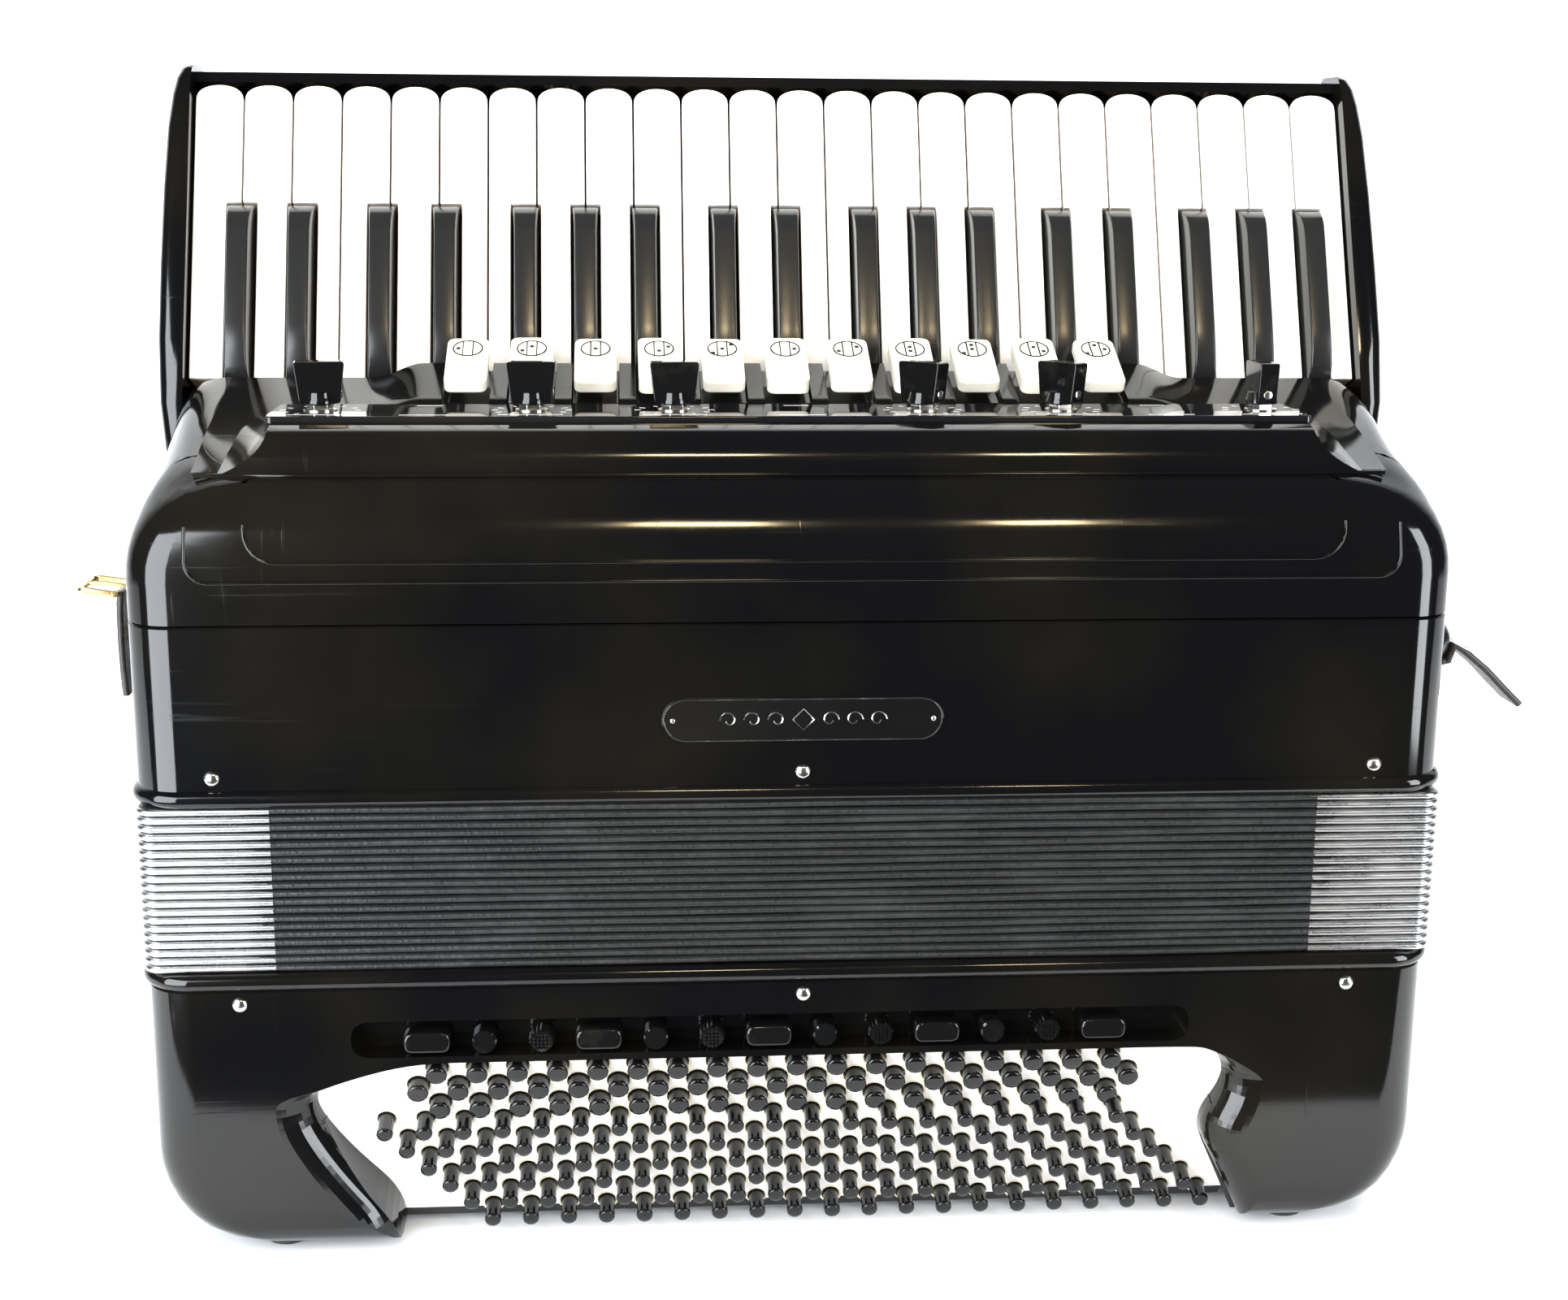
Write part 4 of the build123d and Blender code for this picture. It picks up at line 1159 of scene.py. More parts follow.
@dataclass
class Keyboard:
    """Twenty-four white and seventeen black keys on a sloping bed."""

    root: tuple[float, float] = (124.0, 333.0)
    tilt: float = 22.2
    pitch: float = 20.4
    gap: float = 0.9
    length: float = 129.0
    thickness: float = 12.0
    cap: float = 3.0
    half_w: float = 244.8
    black: tuple[float, float, float] = (11.0, 76.0, 10.0)
    notes: str = "AGFEDCBAGFEDCBAGFEDCBAGF"
    offsets: dict[str, float] = field(
        default_factory=lambda: {"BA": -4.6, "AG": 0.0, "GF": 4.6, "ED": -3.1, "DC": 3.1})

    def at(self, x: float, s: float, d: float) -> Vector:
        """A point on the key plane: s up the keys, d behind their faces."""
        c, n = math.cos(math.radians(self.tilt)), math.sin(math.radians(self.tilt))
        return Body.at(x, self.root[0] + s * n + d * c, self.root[1] + s * c - d * n)

    def cuts(self) -> dict[int, list[tuple[float, float]]]:
        """For each white key, the spans of X that black keys take from it.

        Returns:
            The spans by index of the white key.
        """
        taken: dict[int, list[tuple[float, float]]] = {}
        for i, x in self.black_places():
            half = self.black[0] / 2 + 0.9
            for j in (i, i + 1):
                taken.setdefault(j, []).append((x - half, x + half))
        return taken

    def black_places(self) -> list[tuple[int, float]]:
        """Index of the white key before, and X, of every black key.

        Returns:
            The keys from left to right.
        """
        pairs = [self.notes[i:i + 2] for i in range(len(self.notes) - 1)]
        return [(i, -self.half_w + (i + 1) * self.pitch + self.offsets[pair])
                for i, pair in enumerate(pairs) if pair in self.offsets]

    def build(self) -> None:
        """Builds every key, grouped by note."""
        taken = self.cuts()
        groups: dict[str, list[int]] = {}
        for i, note in enumerate(self.notes):
            groups.setdefault(note, []).append(i)
        for note, members in groups.items():
            node = f"keys_{note.lower()}"
            caps, wood = bmesh.new(), bmesh.new()
            for i in members:
                self.white_key(caps, wood, i, taken.get(i, []))
            SHOP.piece(caps, f"white_caps_{note.lower()}", Finish.KEY_WHITE, node, [node], 50)
            SHOP.piece(wood, f"white_sticks_{note.lower()}", Finish.SPRUCE, node, (), 50)
        sharps: dict[str, list[float]] = {}
        for i, x in self.black_places():
            sharps.setdefault(self.notes[i + 1].lower(), []).append(x)
        for note, members in sharps.items():
            bm = bmesh.new()
            for x in members:
                self.black_key(bm, x)
            node = f"keys_{note}_sharp"
            SHOP.piece(bm, f"black_keys_{note}", Finish.KEY_BLACK, node, [node], 40)

    def white_key(self, caps: bmesh.types.BMesh, wood: bmesh.types.BMesh, index: int,
                  taken: list[tuple[float, float]]) -> None:
        """One white key: a plastic cap with a rounded tip on a wooden stick.

        Args:
            caps: the mesh of the caps.
            wood: the mesh of the sticks.
            index: the key's place from the left.
            taken: spans of X that black keys take.
        """
        x0 = -self.half_w + index * self.pitch + self.gap / 2
        x1 = x0 + self.pitch - self.gap
        left, right = x0, x1
        for a, b in taken:
            if a < x0 < b:
                left = max(left, b)
            elif a < x1 < b:
                right = min(right, a)
        waist = self.black[1] + 1.2
        half, rise = (x1 - x0) / 2, 6.6
        head = [(x0 + half * (1 - c), self.length - rise + rise * s ** 0.8) for c, s in fan(0, 10, 9)]
        head.append((x0 + half - 0.01, self.length))
        outline = [(left, 1.0), (left, waist), (x0, waist)] if left > x0 else [(x0, 1.0)]
        outline += head + [(x1 + x0 - u, v) for u, v in reversed(head)]
        outline += [(x1, waist), (right, waist), (right, 1.0)] if right < x1 else [(x1, 1.0)]
        depth = self.at(0, 0, 1) - self.at(0, 0, 0)
        prism(caps, [self.at(u, s, 0) for u, s in outline], depth * self.cap, 0.55, 3)
        shrunk = [(u, s - 0.5) if s > 100 else (u, s) for u, s in outline]
        prism(wood, [self.at(u, s, self.cap) for u, s in shrunk], depth * (self.thickness - self.cap), 0.3, 1)

    def black_key(self, bm: bmesh.types.BMesh, x: float) -> None:
        """One black key: crowned top, sloping tip and a root that bends down.

        Args:
            bm: the mesh to add to.
            x: its middle.
        """
        width, length, _ = self.black
        half, foot = width / 2, 6.0
        profile = [(length, 0.5, 1.0), (length - 1.5, -3.0, 0.99), (length - 5.5, -7.2, 0.90), (length - 9, -9.0, 0.84),
                   (length - 14, -9.9, 0.80), (40, -10.0, 0.79), (22, -9.9, 0.79), (12, -9.4, 0.80), (5, -7.8, 0.83),
                   (0.5, -4.6, 0.88), (-2.5, 0.5, 0.94)]
        sections = []
        for s, d, narrow in profile:
            top = half * narrow
            edge = min(0.9, abs(d - foot) * 0.3)
            flank = [(half, foot), ((half + top) / 2, (d + foot) / 2), (top, d + edge),
                     (top - edge * 0.35, d + edge * 0.35), (top - edge, d)]
            across = [(-u, v) for u, v in flank] + [(0, d)] + flank[::-1]
            sections.append([self.at(x + u, s, v) for u, v in across])
        loft(bm, sections)


@dataclass
class KeyboardFrame:
    """The bed behind the keys and the two cheeks."""

    half_w: float = 245.2

    def build(self) -> None:
        """Builds the cheeks and dresses the bed."""
        bm = bmesh.new()
        for side in (-1, 1):
            self.cheek(bm, side)
        SHOP.piece(bm, "cheeks", Finish.BLACK, TREBLE, ["keyboard_cheeks"], 45)
        SHOP.dress("keyboard_bed", Finish.BLACK)

    def cheek(self, bm: bmesh.types.BMesh, side: int) -> None:
        """A barrelled cheek lofted from its foot on the case to its rounded top.

        Args:
            bm: the mesh to add to.
            side: -1 for the left, 1 for the right.
        """
        rows = [(256.3, 118, 190, 4.5), (275, 115, 191, 5.5), (300, 111.5, 192.5, 8.5), (325, 112.5, 194, 10.2),
                (350, 121, 195.2, 11.2), (380, 133.5, 196, 11.4), (410, 146, 196, 11.0), (435, 156.0, 196, 9.9),
                (448, 161.5, 196, 8.4), (455, 165, 195.2, 6.8), (459, 169, 193.5, 4.8), (460.6, 173, 191, 2.4)]
        sections = []
        for z, front, back, swell in rows:
            inner, outer = self.half_w, self.half_w + swell
            edge = min(4.2, swell * 0.55)
            outline = [(inner, front + 0.6), (inner + swell * 0.35, front), (outer - edge * 0.7, front + edge * 0.25),
                       (outer - edge * 0.25, front + edge * 0.75), (outer, front + edge * 1.7),
                       (outer, (front + back) / 2), (outer, back - edge * 1.5), (outer - edge * 0.3, back - edge * 0.5),
                       (outer - edge, back), (inner, back)]
            sections.append([Body.at(side * u, y, z) for u, y in outline])
        loft(bm, sections)


# ---------------------------------------------------------------------------------------------
# Bellows
# ---------------------------------------------------------------------------------------------
@dataclass
class Bellows:
    """Twenty leatherette folds with taped edges and metal corners between the two ends."""

    low: float = 122.0
    high: float = 187.0
    folds: int = 20
    half_w: float = 248.6
    depth: float = 189.0
    radius: float = 7.0
    valley: float = 13.0
    metal: float = 43.0
    stiff: float = 20000.0

    def build(self) -> None:
        """Builds the pleats, tapes and corners fold by fold."""
        step = (self.high - self.low) / self.folds
        for i in range(self.folds):
            z = self.low + (i + 0.5) * step
            share = (i + 0.5) / self.folds
            self.tie(self.pleat(i, z, step), share)
            self.tie(self.tape(i, z, step), share)
            self.tie(self.corners(i, z, step), share)

    def tie(self, made: bpy.types.Object, share: float) -> None:
        """Finds the fold's place in an even opening, which is then left unused, and bakes the piece's transform into
        its mesh.

        Args:
            made: the piece.
            share: its share of the opening, 0 to 1.
        """
        low, high = 0.0, 1.0
        for _ in range(40):
            middle = (low + high) / 2
            if middle * middle * (3 - 2 * middle) < share:
                low = middle
            else:
                high = middle
        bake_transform(made)

    def path(self) -> list[PathPoint]:
        """The plan outline of the folds."""
        return rounded_path(self.half_w, 0.6, self.depth, self.radius, 6)

    def pleat(self, index: int, z: float, step: float) -> bpy.types.Object:
        """The two walls of one fold; the first fold stands for the CAD bellows.

        Args:
            index: the fold's number from below.
            z: its middle height.
            step: its height.

        Returns:
            The new piece.
        """
        bm = bmesh.new()
        half = step / 2
        ridge, core = 0.12 * step, 0.02 * step
        profile = [(self.valley, z - half), (1.6, z - ridge), (1.6, z + ridge), (self.valley, z + half),
                   (self.valley + 1.2, z + half), (4.0, z + core), (4.0, z - core), (self.valley + 1.2, z - half)]
        sweep(bm, self.path(), profile)
        names = [] if index else ["bellows"]
        return SHOP.piece(bm, f"pleat_{index + 1}", Finish.BELLOWS, BASS, names, 50, ride=False)

    def tape(self, index: int, z: float, step: float) -> bpy.types.Object:
        """The rounded tape over the edge of one fold; its height wavers a little.

        Args:
            index: the fold's number from below.
            z: its middle height.
            step: its height.

        Returns:
            The new piece.
        """
        bm = bmesh.new()
        phase = random.Random(index).uniform(0, 6.28)
        half = step * 0.445
        path, run = self.path(), 22
        dense: list[PathPoint] = []
        for a, b in zip(path, path[1:] + path[:1]):
            parts = max(1, round(math.hypot(b.x - a.x, b.y - a.y) / run))
            dense += [PathPoint(a.x + (b.x - a.x) * t, a.y + (b.y - a.y) * t, a.nx + (b.nx - a.nx) * t,
                                a.ny + (b.ny - a.ny) * t) for t in [k / parts for k in range(parts)]]
        sections = []
        for k, p in enumerate(dense):
            sway = 0.16 * math.sin(k * 0.55 + phase) + 0.10 * math.sin(k * 1.37 + 2 * phase)
            puff = 0.25 * math.sin(k * 0.8 + phase)
            mid = z + sway * (1 if abs(p.x) < 200 else 0.3)
            ring = [(5.0, -half), (1.6, -half), (0.45 + puff, -half * 0.6), (0.1 + puff, 0), (0.45 + puff, half * 0.6),
                    (1.6, half), (5.0, half)]
            sections.append([Body.at(p.x - p.nx * d, p.y - p.ny * d, mid + v) for d, v in ring])
        loft(bm, sections, closed=True, caps=False, ring=True)
        return SHOP.piece(bm, f"tape_{index + 1}", Finish.BELLOWS, BASS, (), 60, ride=False)

    def corners(self, index: int, z: float, step: float) -> bpy.types.Object:
        """The four bright metal corners of one fold, with tapering ends.

        Args:
            index: the fold's number from below.
            z: its middle height.
            step: its height.

        Returns:
            The new piece.
        """
        bm = bmesh.new()
        half = step * 0.46
        whole = rounded_path(self.half_w + 0.35, 0.25, self.depth + 0.35, self.radius, 8)
        count = len(whole) // 4
        for c in range(4):
            arc = whole[c * count:(c + 1) * count]
            a, b = arc[0], arc[-1]
            reach = [self.metal * share for share in (0.35, 0.7, 1.0)]
            lead = [PathPoint(a.x + a.ny * r, a.y - a.nx * r, a.nx, a.ny) for r in reversed(reach)]
            tail = [PathPoint(b.x - b.ny * r, b.y + b.nx * r, b.nx, b.ny) for r in reach]
            path = lead + arc + tail
            sections = []
            for k, p in enumerate(path):
                slim, sink = (0.88, 0.12) if k in (0, len(path) - 1) else (1.0, 0.0)
                h, cheek = half * slim, half * 0.62 * slim
                profile = [(4.6, -h), (1.4 + sink, -h), (0.35 + sink, -cheek), (sink, 0), (0.35 + sink, cheek),
                           (1.4 + sink, h), (4.6, h)]
                sections.append([Body.at(p.x - p.nx * d, p.y - p.ny * d, z + v) for d, v in profile])
            loft(bm, sections)
        return SHOP.piece(bm, f"metal_corners_{index + 1}", Finish.CORNER, BASS, (), 45, ride=False)


# ---------------------------------------------------------------------------------------------
# Bass end
# ---------------------------------------------------------------------------------------------
@dataclass
class BassCase:
    """The lower box: rounded all round its foot, with a switch groove and an opening for the boards."""

    heights: tuple[float, ...] = (5, 5.8, 8, 11.5, 16, 21, 27, 34, 41, 47, 60, 75, 90, 105, 114.2, 115)
    corner: float = 42.0
    edge: float = 16.0
    tilt: float = 18.0
    board_top: tuple[float, float] = (6.0, 82.0)
    groove: tuple[float, float, float, float] = (-172.0, 153.0, 86.8, 101.5)
    frame: tuple[float, float] = (115.0, 122.0)
    pins: tuple[float, ...] = (-213.0, 1.0, 215.0)
    pin_z: float = 109.5
    cavity: float = 17.0
    split: float = 26.5
    opening: tuple[Point2, ...] = ((-151, -2.2), (147, -2.2), (164, -1.6), (171, 16), (161, 38), (172, 61), (189, 98),
                                   (-157, 98), (-156, 68), (-176, 42), (-188, 20), (-184, 8))

    def board(self, x: float, s: float, out: float) -> Vector:
        """A point over the boards: s down their slope, out from their face."""
        c, n = math.cos(math.radians(self.tilt)), math.sin(math.radians(self.tilt))
        return Body.at(x, self.board_top[0] + s * n - out * c, self.board_top[1] - s * c - out * n)

    def build(self) -> None:
        """Builds the shell, the frame, the pins and the boards."""
        bm = bmesh.new()
        sections = []
        for z in self.heights:
            up = z - self.heights[0]
            side, fore = (r - math.sqrt(r ** 2 - max(0.0, r - up) ** 2) for r in (self.corner, self.edge))
            rim = 0.8 if z == self.heights[-1] else 0.0
            path = rounded_path(CASE_HALF_W - side * 0.92 - rim, fore + rim, CASE_DEPTH - fore - rim,
                                CASE_RADIUS + side * 0.15, CORNER_STEPS)
            sections.append([Body.at(p.x, p.y, z) for p in path])
        loft(bm, sections)
        self.cut(SHOP.piece(bm, "lower_box", Finish.BLACK, BASS, ["bass_case"], 35))
        moulding("lower_frame", *self.frame, BASS, "bass_frame")
        bellows_pins("lower_pins", self.pins, self.pin_z, BASS, "bass_pins")
        self.build_boards()

    def cut(self, shell: bpy.types.Object) -> None:
        """Cuts the opening, the groove and the foot well out of the solid shell.

        Args:
            shell: the solid shell.
        """
        outline = rounded_polygon(self.opening, 16.0, 6)
        x0, x1, z0, z1 = self.groove
        slot = rounded_polygon([(x0, z0), (x1, z0), (x1, z1), (x0, z1)], 8.0, 8)
        cavity, roll, channel, well = (bmesh.new() for _ in range(4))
        prism(cavity, [self.board(x, s, -self.cavity) for x, s in outline], self.board(0, 0, 74) - self.board(0, 0, 0))
        loft(roll, self.flare(outline))
        prism(channel, [Body.at(x, -5, z) for x, z in slot], Vector((0, 17 * MM, 0)))
        block(well, (-215.5, 42.5, -5), (215.5, 176, 23.2), 0)
        for cutter in (cavity, roll, channel, well):
            self.carve(shell, cutter)
        soft = shell.modifiers.new("soft_edges", "BEVEL")
        soft.width, soft.segments, soft.limit_method, soft.angle_limit = 0.7 * MM, 2, "ANGLE", math.radians(62)
        soft.miter_outer = "MITER_ARC"
        shell.modifiers.move(shell.modifiers.find("even_normals"), len(shell.modifiers) - 1)

    def flare(self, outline: Sequence[Point2], roll: float = 15.0) -> list[Loop]:
        """Sections that roll the case's front into the two sides of the opening.

        Args:
            outline: the opening as (X, distance down the slope).
            roll: radius of the roll in millimetres.

        Returns:
            The closed sections of the cutter, from the front backwards.
        """
        c = math.cos(math.radians(self.tilt))
        flat = [Vector((x, self.board_top[1] - s * c)) for x, s in outline]
        sections = []
        for y in [-2.0, 0.0] + [roll * (1 - c) for c, _ in fan(7.5, 7.5, 12)] + [roll + 3]:
            t = 1 - unit(y / roll)
            spread = roll * (1 - math.sqrt(1 - t * t))
            loop = []
            for i, p in enumerate(flat):
                run = flat[(i + 1) % len(flat)] - flat[i - 1]
                out = Vector((run.y, -run.x)).normalized()
                out = out if out.x * p.x > 0 else -out
                side = min(1.0, abs(out.x) * 1.3) * unit((84 - p.y) / 14)
                loop.append(Body.at(p.x + out.x * spread * side, y, p.y + min(0.0, out.y) * spread * side))
            sections.append(loop)
        return sections

    def carve(self, shell: bpy.types.Object, bm: bmesh.types.BMesh) -> None:
        """Takes a closed mesh away from the shell for good.

        Args:
            shell: the piece that is cut.
            bm: the cutter; it is freed.
        """
        bmesh.ops.recalc_face_normals(bm, faces=bm.faces)
        mesh = bpy.data.meshes.new("carver")
        bm.to_mesh(mesh)
        bm.free()
        carver = bpy.data.objects.new("carver", mesh)
        bpy.context.scene.collection.objects.link(carver)
        shell.modifiers["even_normals"].show_viewport = False
        step = shell.modifiers.new("carve", "BOOLEAN")
        step.operation, step.object, step.solver = "DIFFERENCE", carver, "EXACT"
        shell.modifiers.move(shell.modifiers.find("carve"), 0)
        graph = bpy.context.evaluated_depsgraph_get()
        graph.update()
        result = bpy.data.meshes.new_from_object(shell.evaluated_get(graph))
        shell.modifiers.remove(shell.modifiers["carve"])
        shell.data = result
        shell.modifiers["even_normals"].show_viewport = True
        bpy.data.objects.remove(carver)

    def build_boards(self) -> None:
        """Two white boards, the yellowed rims of their holes and the dark strip below."""
        rows, seam = ButtonRow.table(), 0.25
        self.plate("upper_board", "free_bass_board", -2.0, self.split - seam, rows[:4])
        self.plate("lower_board", "stradella_board", self.split + seam, 77.0, rows[3:])
        bm = bmesh.new()
        for row in rows:
            rng = random.Random(row.name)
            for x in row.places():
                inner, outer = row.radius + 0.5, row.radius + rng.uniform(0.9, 1.5)
                turned(bm, [(inner, 0), (outer, 0), (outer, 0.02), (inner, 0.02), (inner, 0)],
                       frame_at(self.board(x, row.s, 0.01), self.outward()), 12)
        SHOP.piece(bm, "hole_stains", Finish.STAIN, BASS)
        bm = bmesh.new()
        prism(bm, [self.board(x, s, -2.6) for x, s in ((-178, 77.2), (178, 77.2), (178, 81.2), (-178, 81.2))],
              self.board(0, 0, 2.4) - self.board(0, 0, 0), 0.4)
        SHOP.piece(bm, "foot_strip", Finish.BUTTON, BASS)

    def plate(self, name: str, node: str, top: float, bottom: float, rows: Sequence["ButtonRow"]) -> None:
        """One board, 3 mm thick, bored for its buttons.

        Args:
            name: the piece's name.
            node: the CAD node that it stands for.
            top: its upper edge, as a distance down the slope.
            bottom: its lower edge.
            rows: the rows of buttons that pass through it.
        """
        bm, bores, thick, half, play = bmesh.new(), bmesh.new(), 3.0, 190, 0.45
        outline = [(-half, top), (half, top), (half, bottom), (-half, bottom)]
        prism(bm, [self.board(x, s, -thick) for x, s in outline], self.board(0, 0, thick) - self.board(0, 0, 0), 0.3)
        for row in rows:
            radius = row.radius + play
            for x in row.places():
                turned(bores, [(0, -6), (radius, -6), (radius, 4), (0, 4)],
                       frame_at(self.board(x, row.s, 0), self.outward()), 14)
        self.carve(SHOP.piece(bm, name, Finish.BOARD, BASS, [node]), bores)

    def outward(self) -> tuple[float, float, float]:
        """Direction out of the boards."""
        return (0, -math.cos(math.radians(self.tilt)), -math.sin(math.radians(self.tilt)))


@dataclass
class ButtonRow:
    """One row of buttons on the boards: its first X, count, pitch, place down the slope, radius and height."""

    name: str
    first: float
    count: int
    pitch: float
    s: float
    radius: float
    out: float

    @staticmethod
    def table() -> list["ButtonRow"]:
        """The nine rows, from the top down.

        Returns:
            The rows, free bass first.
        """
        free = ((-140.4, 18, 2.3), (-148.0, 19, 11.2), (-140.0, 18, 20.3))
        names = ("counterbass", "bass_note", "major_chord", "minor_chord", "seventh_chord", "diminished_chord")
        rows = [ButtonRow(f"free_bass_row_{i}", first, count, 15.5, s, 4.2, 6.0)
                for i, (first, count, s) in enumerate(free, 1)]
        return rows + [ButtonRow(f"{name}_buttons", -161.4 + 8 * i, 20, 15.2, 28.4 + 9.35 * i, 3.3, 10.0)
                       for i, name in enumerate(names)]

    def places(self) -> list[float]:
        """X of every button."""
        return [self.first + i * self.pitch for i in range(self.count)]

    def build(self, case: BassCase) -> None:
        """Builds the row's domed buttons.

        Args:
            case: the lower box, which knows where the boards are.
        """
        bm = bmesh.new()
        rng = random.Random(self.name)
        r = self.radius
        for x in self.places():
            tall = self.out + rng.uniform(-0.25, 0.25)
            dome = [(0, -3.0), (r * 0.93, -3.0), (r * 0.93, tall - 2.4), (r, tall - 2.1), (r * 0.985, tall - 0.9),
                    (r * 0.86, tall - 0.3), (r * 0.5, tall - 0.06), (0, tall)]
            turned(bm, dome, frame_at(case.board(x, self.s, 0.4), case.outward()), 12)
        SHOP.piece(bm, f"{self.name}_caps", Finish.BUTTON, self.name, [self.name], 50)


@dataclass
class BassSwitches:
    """Thirteen switches in the groove: bar, smooth cap and knurled cap in turn."""

    first: float = -143.5
    pitch: float = 21.9
    count: int = 13
    z: float = 92.0
    bar: tuple[float, float] = (9.0, 4.4)
    stud: float = 1.45

    def build(self) -> None:
        """Builds the caps and their stems."""
        bm = bmesh.new()
        w, h = self.bar
        bar = rounded_polygon([(-w, -h), (w, -h), (w, h), (-w, h)], 3.6, 5)
        for i in range(self.count):
            x = self.first + i * self.pitch
            matrix = frame_at(Body.at(x, 14.0, self.z), (0, -1, 0))
            turned(bm, [(0, 0), (2.4, 0), (2.4, 6.0), (0, 6.0)], matrix, 12)
            if i % 3 == 0:
                outline = [Body.at(x + u, 8.5, self.z + v) for u, v in bar]
                prism(bm, outline, Vector((0, -8.3 * MM, 0)), 1.5, 3)
            elif i % 3 == 1:
                turned(bm, [(0, 5.5), (4.8, 5.5), (4.8, 13.2), (4.1, 13.9), (0, 14.0)], matrix, 24)
            else:
                self.knurled(bm, matrix)
        SHOP.piece(bm, "bass_switch_caps", Finish.BUTTON, "bass_switches", ["bass_switches"], 40)

    def knurled(self, bm: bmesh.types.BMesh, matrix: Matrix) -> None:
        """A cap with a ring of teeth and small studs over its hollow face.

        Args:
            bm: the mesh to add to.
            matrix: where it stands.
        """
        rings = [(0.93, 5.5), (1.0, 6.2), (1.0, 13.0), (0.9, 13.8), (0.62, 13.9), (0.5, 13.2)]
        toothed(bm, matrix, 18, 4.4, 4.9, rings)
        for i in range(-2, 3):
            for j in range(-2, 3):
                if i * i + j * j < 6:
                    spot = Matrix.Translation(Vector((i, j, 0)) * self.stud * MM)
                    turned(bm, [(0, 12.8), (0.62, 12.8), (0.5, 14.0), (0, 14.1)], matrix @ spot, 6)


@dataclass
class Underside:
    """Hand strap, its clamps, the tightening wheel, the air button and the feet."""

    middle: float = 116.5
    width: float = 76.0
    thick: float = 2.6
    wheel_z: float = 62.0

    def build(self) -> None:
        """Builds every piece of the underside."""
        self.build_strap()
        self.build_wheel()
        self.build_button()
        SHOP.dress("bass_end_cover", Finish.BLACK)
        bm = bmesh.new()
        for x in (-203, 203):
            for y in (26, 164):
                turned(bm, [(0, 0.1), (7.4, 0.1), (8.8, 0.9), (8.8, 5.6), (0, 5.6)],
                       Matrix.Translation(Body.at(x, y, 0)), 24)
        SHOP.piece(bm, "rubber_feet", Finish.RUBBER, BASS, ["bass_feet"])

    def build_strap(self) -> None:
        """The strap, its stitches and its clamps."""
        bm = bmesh.new()
        bend = [(-184, 19.4), (-180, 16.0), (-174, 9.5), (-167, 4.6), (-155, 2.9)]
        self.band(bm, bend + [(x, 2.8) for x in range(-140, 141, 20)] + [(-x, z) for x, z in reversed(bend)])
        SHOP.piece(bm, "hand_strap", Finish.LEATHER, BASS, ["bass_strap"], 60)
        bm = bmesh.new()
        for side in (-1, 1):
            for x in range(-150, 151, 30):
                for k in range(4):
                    low = (x - 13 + 7 * k, self.middle + side * 34.0 - 0.35, 1.15)
                    block(bm, low, (low[0] + 4.2, low[1] + 0.7, 1.6), 0)
        SHOP.piece(bm, "hand_strap_stitches", Finish.THREAD, BASS)
        bm = bmesh.new()
        for side in (-1, 1):
            block(bm, (side * 198 - 10, self.middle - 30, 17.5), (side * 198 + 10, self.middle + 30, 20), 0.8)
            for v in (-20, 20):
                pin(bm, Body.at(side * 198, self.middle + v, 17.6), (0, 0, -1), 2.6)
        SHOP.piece(bm, "strap_clamps", Finish.NICKEL, BASS, ["strap_anchors"])

    def build_wheel(self) -> None:
        """The wheel that tightens the strap, on its axle."""
        bm = bmesh.new()
        matrix = frame_at(Body.at(CASE_HALF_W, self.middle, self.wheel_z), (1, 0, 0))
        rings = [(0.95, 0.5), (1.0, 1.0), (1.0, 5.6), (0.92, 6.3), (0.7, 6.4), (0.62, 5.9)]
        toothed(bm, matrix, 24, 10.1, 10.9, rings)
        turned(bm, [(0, -8), (2.5, -8), (2.5, 1), (0, 1)], matrix, 12)
        SHOP.piece(bm, "tightening_wheel", Finish.BUTTON, "strap_wheel", ["strap_wheel"], 35)

    def build_button(self) -> None:
        """The air button with its hollowed head."""
        bm = bmesh.new()
        low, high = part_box("air_button")
        head = frame_at(Vector((low[0] + 6 * MM, (low[1] + high[1]) / 2, (low[2] + high[2]) / 2)), (-1, 0, 0))
        turned(bm, [(0, -20), (2.4, -20), (2.4, 0), (6.9, 0), (6.9, 4.2), (6.2, 5.5), (4.6, 6.0), (3.2, 5.5), (0, 5.3)],
               head, 28)
        SHOP.piece(bm, "air_push", Finish.NICKEL, "air_button", ["air_button"])

    def band(self, bm: bmesh.types.BMesh, line: Sequence[Point2]) -> None:
        """The flat strap along X, with rounded edges.

        Args:
            bm: the mesh to add to.
            line: its middle line as (X, Z) points.
        """
        half = self.thick / 2
        y0, y1 = self.middle - self.width / 2, self.middle + self.width / 2
        ring = [(y0, -half * 0.3), (y0 + 0.8, -half), (y0 + 6, -half * 1.1), (y1 - 6, -half * 1.1), (y1 - 0.8, -half),
                (y1, -half * 0.3), (y1, half * 0.3), (y1 - 0.8, half), (y0 + 0.8, half), (y0, half * 0.3)]
        loft(bm, [[Body.at(x, y, z + v) for y, v in ring] for x, z in line])


